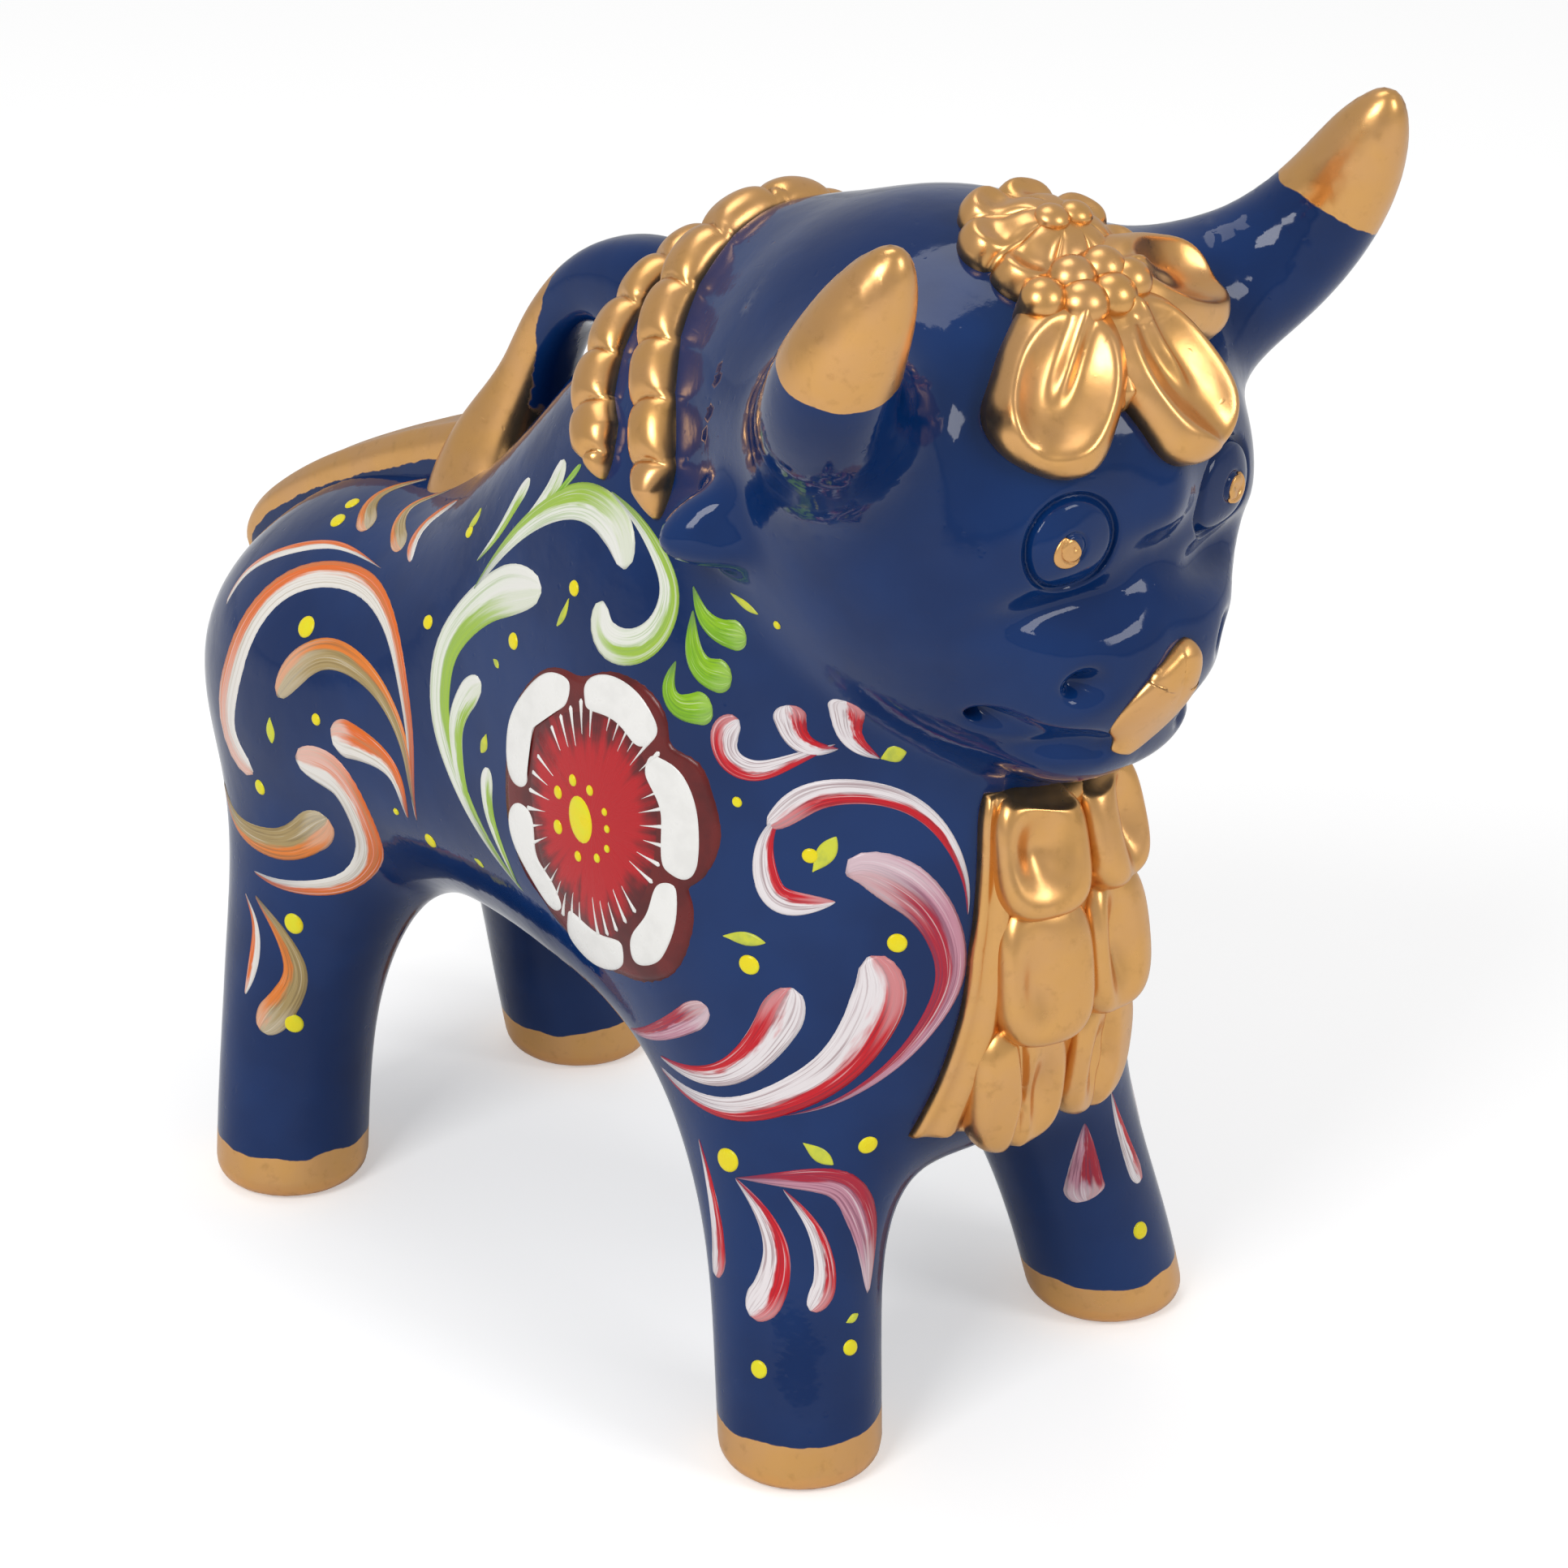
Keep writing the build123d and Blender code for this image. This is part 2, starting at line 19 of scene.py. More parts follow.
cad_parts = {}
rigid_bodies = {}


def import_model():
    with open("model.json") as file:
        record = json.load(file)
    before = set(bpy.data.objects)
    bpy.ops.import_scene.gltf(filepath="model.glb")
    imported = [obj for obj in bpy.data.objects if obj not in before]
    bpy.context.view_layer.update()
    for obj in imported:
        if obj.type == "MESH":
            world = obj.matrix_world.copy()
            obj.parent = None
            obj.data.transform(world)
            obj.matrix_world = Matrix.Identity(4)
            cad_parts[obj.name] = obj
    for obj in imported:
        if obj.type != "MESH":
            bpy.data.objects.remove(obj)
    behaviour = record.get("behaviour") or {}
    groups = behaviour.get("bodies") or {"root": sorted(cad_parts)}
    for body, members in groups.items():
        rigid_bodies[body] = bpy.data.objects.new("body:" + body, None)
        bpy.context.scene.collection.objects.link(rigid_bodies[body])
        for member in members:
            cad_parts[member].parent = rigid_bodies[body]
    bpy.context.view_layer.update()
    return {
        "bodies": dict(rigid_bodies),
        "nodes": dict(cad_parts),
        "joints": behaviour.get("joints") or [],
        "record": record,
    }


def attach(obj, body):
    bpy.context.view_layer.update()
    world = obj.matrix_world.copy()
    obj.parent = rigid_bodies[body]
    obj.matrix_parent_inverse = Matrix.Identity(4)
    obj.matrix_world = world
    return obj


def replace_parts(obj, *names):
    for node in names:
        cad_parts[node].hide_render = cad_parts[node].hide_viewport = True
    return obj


LOG = logging.getLogger("bull")
MM = 0.001
Array = np.ndarray


def unit(vectors: Array) -> Array:
    """Return vectors scaled to length one along the last axis."""
    return vectors / np.maximum(np.linalg.norm(vectors, axis=-1, keepdims=True), 1e-12)


def smooth_step(low: float, high: float, values: Array) -> Array:
    """Return 0 below low, 1 above high and an even ease between them."""
    share = np.clip((values - low) / (high - low), 0.0, 1.0)
    return share * share * (3.0 - 2.0 * share)


def natural_spline(knots: Array, values: Array, at: Array) -> Array:
    """Return the natural cubic spline through values at knots, so that its curvature has no jump.

    Formula: second derivatives M solve the tridiagonal system of the spline; each piece is the
    straight line between its ends plus cubic terms in M.

    Args:
        knots: rising positions, n.
        values: what is interpolated, n or n by m.
        at: positions wanted, k.

    Returns:
        k values, or k by m.
    """
    knots = np.asarray(knots, float)
    values = np.asarray(values, float)
    flat = values.reshape(len(knots), -1)
    gap = np.diff(knots)
    system = np.eye(len(knots))
    right = np.zeros_like(flat)
    inner = np.arange(1, len(knots) - 1)
    system[inner, inner - 1] = gap[:-1]
    system[inner, inner] = 2 * (gap[:-1] + gap[1:])
    system[inner, inner + 1] = gap[1:]
    slope = np.diff(flat, axis=0) / gap[:, None]
    right[inner] = 6 * np.diff(slope, axis=0)
    bend = np.linalg.solve(system, right)
    at = np.clip(np.asarray(at, float), knots[0], knots[-1])
    piece = np.clip(np.searchsorted(knots, at) - 1, 0, len(gap) - 1)
    h = gap[piece][:, None]
    a = (knots[piece + 1] - at)[:, None] / h
    b = 1.0 - a
    found = a * flat[piece] + b * flat[piece + 1]
    found += ((a**3 - a) * bend[piece] + (b**3 - b) * bend[piece + 1]) * h * h / 6
    return found.reshape(at.shape + values.shape[1:])


def smooth_union(first: Array, second: Array, reach: float) -> Array:
    """Return the lesser of two fields, blended where they differ by less than reach."""
    share = np.maximum(reach - np.abs(first - second), 0.0) / reach
    return np.minimum(first, second) - share**3 * reach / 6.0


def round_corner(out: Array, over: Array, radius: float) -> Array:
    """Return the greater of two fields, with their edge rounded by a radius."""
    first, second = out + radius, over + radius
    corner = np.hypot(np.maximum(first, 0), np.maximum(second, 0))
    return np.minimum(np.maximum(first, second), 0) + corner - radius


@dataclass(frozen=True)
class Tube:
    """A tube of upright half-ellipse sections along a line, round at both ends.

    Each station is place, top, bottom, half width and widest level; each end is place and level.
    Formula: width squared W and the shares k = W over rise squared run on cubic splines along the
    line; W is nought at the ends and goes on below nought past them. G = x^2 + k h^2 - W is
    nought on the skin, and the field is G over its slope, taken midway between place and skin.
    """

    first: tuple[float, float]
    stations: tuple[tuple[float, float, float, float, float], ...]
    last: tuple[float, float]
    past: float = 70.0
    half_blend: float = 9.0

    def table(self) -> tuple[Array, Array]:
        """Return places along the line, and there level, W, k above and k below."""
        rows = np.array(self.stations, float)
        at = np.concatenate([[self.first[0]], rows[:, 0], [self.last[0]]])
        level = np.concatenate([[self.first[1]], rows[:, 4], [self.last[1]]])
        rise, drop, width = (
            np.pad(size, 1) ** 2 for size in (rows[:, 1] - rows[:, 4], rows[:, 4] - rows[:, 2], rows[:, 3])
        )
        fine = np.linspace(at[0], at[-1], 3001)
        sizes = natural_spline(at, np.stack([level, width, rise, drop], 1), fine)
        inside = slice(12, -12)
        share_up = sizes[inside, 1] / np.maximum(sizes[inside, 2], 1.0)
        share_down = sizes[inside, 1] / np.maximum(sizes[inside, 3], 1.0)
        step = fine[1] - fine[0]
        before = np.arange(-self.past, 0, 1.0)
        after = np.arange(1.0, self.past + 1, 1.0)
        first_slope = (sizes[1, 1] - sizes[0, 1]) / step
        last_slope = (sizes[-1, 1] - sizes[-2, 1]) / step
        places = np.concatenate([fine[0] + before, fine, fine[-1] + after])
        spread = np.concatenate([before * first_slope, sizes[:, 1], after * last_slope])
        levels = np.concatenate([np.full(len(before), level[0]), sizes[:, 0], np.full(len(after), level[-1])])
        ends = (len(before) + 12, len(after) + 12)
        ups = np.pad(share_up, ends, mode="edge")
        downs = np.pad(share_down, ends, mode="edge")
        return places, np.stack([levels, spread, ups, downs], 1)

    def gap(self, across: Array, up: Array, along: Array) -> Array:
        """Return the field at places across, up and along the tube's own line."""
        places, sizes = self.table()
        slopes = np.gradient(sizes, places, axis=0)
        level, spread, ups, downs = (np.interp(along, places, sizes[:, k]) for k in range(4))
        level_slope, spread_slope = (np.interp(along, places, slopes[:, k]) for k in (0, 1))
        height = up - level
        upper = 0.5 + 0.5 * np.tanh(height / self.half_blend)
        share = downs + (ups - downs) * upper
        radial = across**2 + share * height**2
        reach = np.sqrt(np.maximum(spread, 0.0))
        round_ = np.sqrt(radial) + 1e-6
        steep = np.sqrt(across**2 + (share * height) ** 2) + 1e-6
        side = steep * (1.0 + reach / round_)
        lean = spread_slope + 2 * share * height * level_slope
        return (radial - spread) / np.sqrt(side**2 + lean**2 + 1e-6)


@dataclass(frozen=True)
class Leg:
    """A leg of level ellipses, on the +X side, with a flat sole rounded at its edge.

    Each ring is height, x, y and the two half widths.
    """

    rings: tuple[tuple[float, float, float, float, float], ...]
    edge: float = 3.2
    shoulder: float = 12.0

    def gap(self, x: Array, y: Array, z: Array) -> Array:
        """Return the field: the gap to the ellipse of that level, rounded off at both ends."""
        rows = np.array(self.rings, float)
        fine = np.linspace(rows[0, 0], rows[-1, 0], 1500)
        sizes = natural_spline(rows[:, 0], rows[:, 1:], fine)
        mid_x, mid_y, half_x, half_y = (np.interp(z, fine, sizes[:, k]) for k in range(4))
        near = np.hypot((x - mid_x) / half_x, (y - mid_y) / half_y)
        slope = np.hypot((x - mid_x) / half_x**2, (y - mid_y) / half_y**2) + 1e-9
        side = np.where(near < 0.05, -np.minimum(half_x, half_y), near * (near - 1.0) / slope)
        return round_corner(round_corner(side, -z, self.edge), z - rows[-1, 0], self.shoulder)


@dataclass(frozen=True)
class Limb:
    """A round limb along a bent line, such as a horn, closed round where its last radius is nought.

    Formula: the foot of a place on the spline is the nearest of many samples, bettered by steps
    along its tangent. With d the distance from the line and R the radius squared there, which goes
    on below nought past the tip, the field is d^2 - R over its slope.
    """

    line: tuple[tuple[float, float, float], ...]
    radii: tuple[float, ...]

    def gap(self, points: Array) -> Array:
        """Return the field at n by 3 points."""
        row = np.column_stack([np.array(self.line, float), np.array(self.radii, float) ** 2])
        knots = np.concatenate([[0], np.cumsum(np.linalg.norm(np.diff(row[:, :3], axis=0), axis=1))])
        fine = np.linspace(0, knots[-1], 60)
        path = natural_spline(knots, row, fine)
        share = fine[((points[:, None, :] - path[None, :, :3]) ** 2).sum(2).argmin(1)]
        small = knots[-1] * 1e-3
        for _ in range(3):
            low, high = np.maximum(share - small, 0.0), np.minimum(share + small, knots[-1])
            place = natural_spline(knots, row, share)
            slope = (natural_spline(knots, row, high) - natural_spline(knots, row, low)) / (high - low)[:, None]
            tangent = unit(slope[:, :3])
            shift = ((points - place[:, :3]) * tangent).sum(1)
            share = np.clip(share + np.clip(shift, -3.0, 3.0) * 0.8, 0, knots[-1])
        past = np.where(share >= knots[-1] - 1e-9, np.maximum(shift, 0.0), 0.0)
        off_line = np.maximum(((points - place[:, :3]) ** 2).sum(1) - past**2, 0.0)
        spread = place[:, 3] + slope[:, 3] * past
        side = np.sqrt(off_line) + np.sqrt(np.maximum(spread, 0.0)) + 1e-6
        return (off_line - spread) / np.sqrt(side**2 + slope[:, 3] ** 2)


@dataclass(frozen=True)
class Lump:
    """A soft raise, or with a negative height a soft dent, in a mirrored pair.

    Formula: height times exp(-r squared), with r the distance from its middle in units of spread
    sideways, ahead and over, after turning by yaw about Z and by pitch down.
    """

    middle: tuple[float, float, float]
    spread: tuple[float, float, float]
    height: float
    yaw: float = 0.0
    pitch: float = 0.0

    def lift(self, points: Array) -> Array:
        """Return how far the skin is lifted at n by 3 points given on the +X side."""
        pitch, yaw = np.radians(self.pitch), np.radians(self.yaw)
        ahead = np.array([np.sin(yaw) * np.cos(pitch), -np.cos(yaw) * np.cos(pitch), -np.sin(pitch)])
        side = np.array([np.cos(yaw), np.sin(yaw), 0.0])
        frame = np.stack([side, ahead, np.cross(side, ahead)], 1)
        scaled = ((points - np.array(self.middle)) @ frame) / np.array(self.spread)
        return self.height * np.exp(-(scaled**2).sum(1))


class BullForm:
    """The bull's clay form as one field: negative inside, nought on the skin, in millimetres."""

    trunk = Tube(
        (-80.5, 84.0),
        (
            (-74, 128, 52, 19.5, 83),
            (-60, 163, 43, 33, 87),
            (-38, 182, 41, 41, 90),
            (-8, 171, 46.5, 40.5, 88),
            (12, 150, 51, 38, 87),
            (32, 129, 53, 37.5, 86),
            (60, 117.5, 53.5, 36.5, 85.5),
            (85, 105.5, 57.5, 27, 84),
            (96, 94, 66, 15, 82),
        ),
        (100.8, 82.0),
    )
    head = Tube(
        (-11.0, 5.0),
        (
            (-7, 21.5, -13.5, 17.5, 5),
            (6, 35.5, -29, 31, 5),
            (28, 42.5, -36, 37.5, 5),
            (48, 39.5, -32, 35, 6),
            (59, 31, -26.5, 29.5, 5),
            (66, 20, -23, 21.5, -1),
            (72.5, 8, -17.5, 14.5, -5),
        ),
        (76.5, -6.0),
    )
    front_leg = Leg(
        (
            (0, 34.3, -60.3, 12.3, 12.3),
            (12, 32.5, -58, 12.5, 12.5),
            (30, 28.8, -53.5, 12.9, 13.6),
            (46, 25.5, -49, 14, 16.6),
            (62, 22.5, -45, 15, 19),
            (78, 19, -42.5, 15, 20),
            (94, 13, -41, 13, 18),
        )
    )
    rear_leg = Leg(
        (
            (0, 32.6, 62, 12.6, 12.6),
            (14, 30.5, 63, 12.6, 12.6),
            (30, 28, 63, 12.8, 13.4),
            (46, 25, 61.5, 13.8, 16),
            (62, 21, 60, 14.5, 18.4),
            (76, 16, 59, 14.5, 19),
            (90, 11, 58, 13, 18),
        )
    )
    horn = Limb(
        (
            (21, -62, 158),
            (33, -68, 166),
            (43.5, -75, 172.5),
            (49.3, -82.5, 182.5),
            (49.8, -88.4, 192.5),
            (49.4, -93, 201.2),
        ),
        (14.5, 12.4, 10.2, 8.3, 6.2, 0.0),
    )
    ear = Limb(((28, -52, 150), (34, -49.5, 148), (39, -46, 146.6), (44.5, -42.5, 145)), (5.0, 6.4, 5.4, 0.0))
    head_start = (-30.0, 160.0)
    head_tilt = 28.5
    flank_reach = 26.0
    neck_reach = 9.0
    horn_reach = 18.0
    ear_reach = 5.0
    lumps = (
        Lump((14, -98, 151), (8, 9, 9), -1.8),
        Lump((0, -98, 156), (5, 9, 11), 1.3),
        Lump((0, -98, 146.0), (9, 8, 4.6), -3.8),
        Lump((7, -95, 132), (12.5, 9, 7.5), 3.0), Lump((14.5, -92.5, 120.4), (4.5, 6, 1.9), -3.0),
        Lump((15, -95, 141.8), (10, 8, 3.2), -4.8, 30),
        Lump((27, -82, 133), (7, 9, 9), -0.9),
        Lump((8, -91, 114), (13, 8, 4.5), 1.2),
        Lump((13.8, -94, 130.6), (2.5, 8, 2.4), -4.2),
        Lump((41.5, -52, 149), (2.9, 3.2, 2.9), -1.9),
    )
    mouth_line = ((22, -80.5, 126.5), (20.5, -87.5, 123.8), (16, -91.5, 121.3), (9, -94, 119))
    mouth_half = 1.5
    mouth_depth = 4.2
    eye_middle = (17.0, -95.5, 151.6)
    eye_normal = (0.5, -0.86, 0.05)
    eye_radius = 6.5
    eye_dome = 1.5
    ring_depth = 1.15
    drain = (22.0, 4.5)

    def head_places(self, points: Array) -> tuple[Array, Array, Array]:
        """Return places across, up and along the head's own line."""
        tilt = np.radians(self.head_tilt)
        y, z = points[:, 1] - self.head_start[0], points[:, 2] - self.head_start[1]
        return points[:, 0], z * np.cos(tilt) - y * np.sin(tilt), -y * np.cos(tilt) - z * np.sin(tilt)

    def eye_distance(self, points: Array) -> Array:
        """Return the distance from the eye's own axis, at points given on the +X side."""
        away = points - np.array(self.eye_middle)
        normal = unit(np.array(self.eye_normal))
        return np.linalg.norm(away - (away @ normal)[:, None] * normal, axis=1)

    def eye_lift(self, points: Array) -> Array:
        """Return the eye's relief: a dome in an engraved ring, and a small ring round the pupil."""
        far = self.eye_distance(points)
        dome = self.eye_dome * np.clip(1.0 - (far / self.eye_radius) ** 2, 0, None)
        ring = self.ring_depth * np.exp(-(((far - self.eye_radius - 0.4) / 0.55) ** 2))
        pupil = 0.35 * np.exp(-(((far - 2.0) / 0.32) ** 2)) + 0.35 * np.exp(-((far / 0.5) ** 2))
        return dome - ring - pupil

    def mouth_distance(self, points: Array) -> Array:
        """Return the distance to the line of the mouth, at points given on the +X side."""
        line = np.array(self.mouth_line, float)
        path = natural_spline(np.linspace(0, 1, len(line)), line, np.linspace(0, 1, 120))
        return np.sqrt(((points[:, None, :] - path[None]) ** 2).sum(2).min(1))

    def relief(self, side: Array) -> Array:
        """Return all the raises less all the dents of face and ears, at points on the +X side."""
        lift = sum(lump.lift(side) for lump in self.lumps)
        face = side[:, 1] < -76
        if face.any():
            front = side[face]
            lift[face] += self.eye_lift(front)
            groove = self.mouth_distance(front) / self.mouth_half
            lift[face] -= self.mouth_depth * np.exp(-(groove**2))
        return lift

    def gap(self, points: Array) -> Array:
        """Return the field at n by 3 points, worked out on one side and mirrored."""
        side = points.copy()
        side[:, 0] = np.abs(side[:, 0])
        x, y, z = side.T
        trunk = self.trunk.gap(x, z, y)
        legs = smooth_union(self.front_leg.gap(x, y, z), self.rear_leg.gap(x, y, z), 4.0)
        clay = smooth_union(trunk, legs, self.flank_reach)
        head = self.head.gap(*self.head_places(side))
        near = (np.abs(y + 74) < 34) & (z > 120) & (x > 0) & (head < 50)
        if near.any():
            horn = np.full(len(side), 80.0)
            horn[near] = self.horn.gap(side[near])
            head = smooth_union(head, horn, self.horn_reach)
        clay = smooth_union(clay, head, self.neck_reach)
        near = (np.abs(x - 36) < 20) & (np.abs(y + 50) < 20) & (np.abs(z - 148) < 20)
        if near.any():
            ear = np.full(len(side), 40.0)
            ear[near] = self.ear.gap(side[near])
            clay = smooth_union(clay, ear, self.ear_reach)
        near = (y < -38) & (z > 98) & (z < 175) & (np.abs(clay) < 12)
        if near.any():
            clay[near] -= self.relief(side[near])
        return clay


def surface_net(values: Array, low: Array, cell: float) -> tuple[Array, Array]:
    """Return the surface where a field on a regular grid is nought, as points and four-sided faces.

    Formula: each cell that the surface crosses gets one point, the mean of the crossings on its
    twelve edges; each grid edge that it crosses gets one face, through the four cells round it.

    Args:
        values: the field at the corners, shaped x by y by z.
        low: place of the first corner.
        cell: size of a cell.
    """
    inside = values < 0
    size = np.array(values.shape) - 1
    total = np.zeros((*size, 3))
    count = np.zeros(size)
    for axis in range(3):
        near = np.take(values, np.arange(values.shape[axis] - 1), axis)
        far = np.take(values, np.arange(1, values.shape[axis]), axis)
        crossed = (near < 0) != (far < 0)
        share = near / np.where(crossed, near - far, 1.0)
        first, second = (k for k in range(3) if k != axis)
        for step_one in (0, 1):
            for step_two in (0, 1):
                pick = [slice(None)] * 3
                pick[first] = slice(step_one, step_one + size[first])
                pick[second] = slice(step_two, step_two + size[second])
                here = crossed[tuple(pick)]
                place = np.zeros((*size, 3))
                place[..., axis] = share[tuple(pick)]
                place[..., first] = step_one
                place[..., second] = step_two
                total += place * here[..., None]
                count += here
    cells = np.argwhere(count > 0)
    number = np.full(size, -1)
    number[tuple(cells.T)] = np.arange(len(cells))
    mean = total[tuple(cells.T)] / count[tuple(cells.T)][:, None]
    points = low + (cells + mean) * cell
    faces = []
    for axis in range(3):
        first, second = (axis + 1) % 3, (axis + 2) % 3
        near = np.take(inside, np.arange(values.shape[axis] - 1), axis)
        far = np.take(inside, np.arange(1, values.shape[axis]), axis)
        edges = np.argwhere(near != far)
        leaves = near[tuple(edges.T)]
        ring = []
        for step_one, step_two in ((-1, -1), (0, -1), (0, 0), (-1, 0)):
            corner = edges.copy()
            corner[:, first] += step_one
            corner[:, second] += step_two
            ring.append(number[tuple(corner.T)])
        ring = np.stack(ring, 1)
        ring[~leaves] = ring[~leaves][:, ::-1]
        faces.append(ring)
    return points, np.concatenate(faces)


def split_edges(points: Array, faces: Array, marked: Array) -> tuple[Array, Array, Array]:
    """Return a triangle mesh with its marked edges halved, so that no crack opens between sizes.

    Args:
        points: n by 3.
        faces: m by 3, point numbers.
        marked: for each point, whether it lies where the mesh has to be finer.

    Returns:
        The points, the faces, and the numbers of the new points.
    """
    ends = np.sort(np.stack([faces, np.roll(faces, -1, 1)], 2).reshape(-1, 2), 1)
    edges, back = np.unique(ends, axis=0, return_inverse=True)
    halve = marked[edges].any(1)
    new = np.full(len(edges), -1)
    new[halve] = len(points) + np.arange(halve.sum())
    middle = points[edges[halve]].mean(1)
    mid = new[back.reshape(-1)].reshape(-1, 3)
    pattern = ((mid >= 0) * np.array([1, 2, 4])).sum(1)
    out = [faces[pattern == 0]]
    for turn in range(3):
        corner, half = np.roll(faces, -turn, 1), np.roll(mid, -turn, 1)
        a, b, c = corner.T
        ab, bc, ca = half.T
        one = pattern == (1, 2, 4)[turn]
        out.append(np.stack([a, ab, c], 1)[one])
        out.append(np.stack([ab, b, c], 1)[one])
        two = pattern == (3, 6, 5)[turn]
        out.append(np.stack([ab, b, bc], 1)[two])
        out.append(np.stack([a, ab, bc], 1)[two])
        out.append(np.stack([a, bc, c], 1)[two])
    a, b, c = faces[pattern == 7].T
    ab, bc, ca = mid[pattern == 7].T
    out += [np.stack(three, 1) for three in ((a, ab, ca), (ab, b, bc), (ca, bc, c), (ab, bc, ca))]
    added = np.arange(len(points), len(points) + len(middle))
    return np.concatenate([points, middle]), np.concatenate(out), added


@dataclass
class Skin:
    """The skin of the clay form: what everything painted or applied is laid onto."""

    form: BullForm = field(default_factory=BullForm)
    cell: float = 1.5
    low: tuple[float, float, float] = (-62.0, -104.0, -1.9)
    high: tuple[float, float, float] = (62.0, 106.0, 205.0)

    def slope(self, points: Array, width: float = 0.12) -> Array:
        """Return the field's slope, from its difference over a small width each way."""
        steps = np.eye(3) * width
        return np.stack([self.form.gap(points + s) - self.form.gap(points - s) for s in steps], 1) / (2 * width)

    def normals(self, points: Array) -> Array:
        """Return the directions square to the skin, pointing out."""
        flat = points.reshape(-1, 3)
        return unit(self.slope(flat)).reshape(points.shape)

    def settle(self, points: Array, steps: int = 4, limit: float = 2.0) -> Array:
        """Return points moved onto the skin.

        Formula: each step moves a point by its field over its slope squared, along the slope; the
        slope is worked out afresh every second step.
        """
        flat = points.reshape(-1, 3).astype(float).copy()
        shifts = np.eye(3) * 0.1
        for step in range(steps):
            value = self.form.gap(flat)
            if step % 2 == 0:
                slope = np.stack([self.form.gap(flat + shift) - value for shift in shifts], 1) / 0.1
            move = value / np.maximum((slope**2).sum(1), 0.05)
            length = np.abs(move) * np.linalg.norm(slope, axis=1)
            move *= np.minimum(1.0, limit / np.maximum(length, 1e-9))
            flat -= move[:, None] * slope
        return flat.reshape(points.shape)

    def cast(self, start: Array, direction: Array, reach: float = 60.0) -> Array:
        """Return where lines from start meet the skin, halving between outside and inside."""
        direction = unit(np.broadcast_to(direction, start.shape))
        steps = np.linspace(0, reach, 121)
        line = start[:, None] + direction[:, None] * steps[:, None]
        inside = self.form.gap(line.reshape(-1, 3)).reshape(line.shape[:2]) < 0
        first = np.maximum(np.argmax(inside, axis=1), 1)
        outer, inner = steps[first - 1], steps[first]
        for _ in range(8):
            middle = (outer + inner) / 2
            inside = self.form.gap(start + direction * middle[:, None]) < 0
            inner = np.where(inside, middle, inner)
            outer = np.where(inside, outer, middle)
        return start + direction * ((outer + inner) / 2)[:, None]

    def near_detail(self, points: Array) -> Array:
        """Return how far points are from the finest details: mouth, eye ring, pupil, nostril, ear."""
        side = points.copy()
        side[:, 0] = np.abs(side[:, 0])
        far = np.full(len(points), 99.0)
        face = (side[:, 1] < -70) & (side[:, 2] > 105) & (side[:, 2] < 170)
        front = side[face]
        eye = self.form.eye_distance(front)
        ring = np.minimum(np.abs(eye - self.form.eye_radius), np.abs(eye - 1.2))
        nostril = np.linalg.norm(front - np.array(self.form.lumps[7].middle), axis=1) - 1.0
        far[face] = np.minimum(np.minimum(ring, nostril), self.form.mouth_distance(front))
        ear = np.linalg.norm(side - np.array(self.form.lumps[8].middle), axis=1) - 2.0
        drain_y, drain_radius = self.form.drain
        drain = np.hypot(side[:, 0], side[:, 1] - drain_y) - drain_radius
        drain = np.where(side[:, 2] < 62, np.abs(drain), 99.0)
        return np.minimum(np.minimum(far, ear), drain)

    def mesh(self) -> tuple[Array, Array]:
        """Return the skin's points and triangles, finer near the details."""
        counts = [int((high - low) / self.cell) + 1 for low, high in zip(self.low, self.high)]
        axes = [low + np.arange(count) * self.cell for low, count in zip(self.low, counts)]
        grid = np.stack(np.meshgrid(*axes, indexing="ij"), 3).reshape(-1, 3)
        coarse = np.concatenate([self.form.gap(part) for part in np.array_split(grid, 24)])
        points, quads = surface_net(coarse.reshape(counts), np.array(self.low), self.cell)
        faces = np.concatenate([quads[:, [0, 1, 2]], quads[:, [0, 2, 3]]])
        points = self.settle(points)
        for reach in (5.0, 2.4, 1.3):
            points, faces, added = split_edges(points, faces, self.near_detail(points) < reach)
            points[added] = self.settle(points[added], 3)
        return points, faces


def grid_faces(rows: int, columns: int, wrap: bool = False) -> Array:
    """Return the four-sided faces of a grid of points, row by row.

    Args:
        rows: points one way.
        columns: points the other way.
        wrap: whether the last column joins the first.
    """
    row, column = np.meshgrid(np.arange(rows - 1), np.arange(columns if wrap else columns - 1), indexing="ij")
    along = (column + 1) % columns
    return np.stack(
        [row * columns + column, row * columns + along, (row + 1) * columns + along, (row + 1) * columns + column], 2
    ).reshape(-1, 4)


@dataclass
class Bundle:
    """Grids of points gathered into one piece, each point with a place along, across and a mark."""

    points: list[Array] = field(default_factory=list)
    faces: list[Array] = field(default_factory=list)
    places: list[Array] = field(default_factory=list)
    marks: list[Array] = field(default_factory=list)
    count: int = 0

    def add(self, points: Array, places: Array, marks: Array | float = 0.0, wrap: bool = True) -> None:
        """Add one grid.

        Args:
            points: rows by columns by 3.
            places: rows by columns by 2, kept as the UV map.
            marks: rows by columns, kept as the attribute "mark".
            wrap: whether each row closes on itself.
        """
        rows, columns = points.shape[:2]
        self.points.append(points.reshape(-1, 3))
        self.places.append(places.reshape(-1, 2))
        self.marks.append(np.broadcast_to(marks, (rows, columns)).reshape(-1))
        self.faces.append(grid_faces(rows, columns, wrap) + self.count)
        self.count += rows * columns

    def piece(self, name: str, materials: list[bpy.types.Material], slot: str) -> bpy.types.Object:
        """Return the gathered grids as one smooth, closed piece that rides with the bull."""
        return make_piece(
            name,
            np.concatenate(self.points),
            np.concatenate(self.faces),
            materials,
            places=np.concatenate(self.places),
            marks=np.concatenate(self.marks),
        )


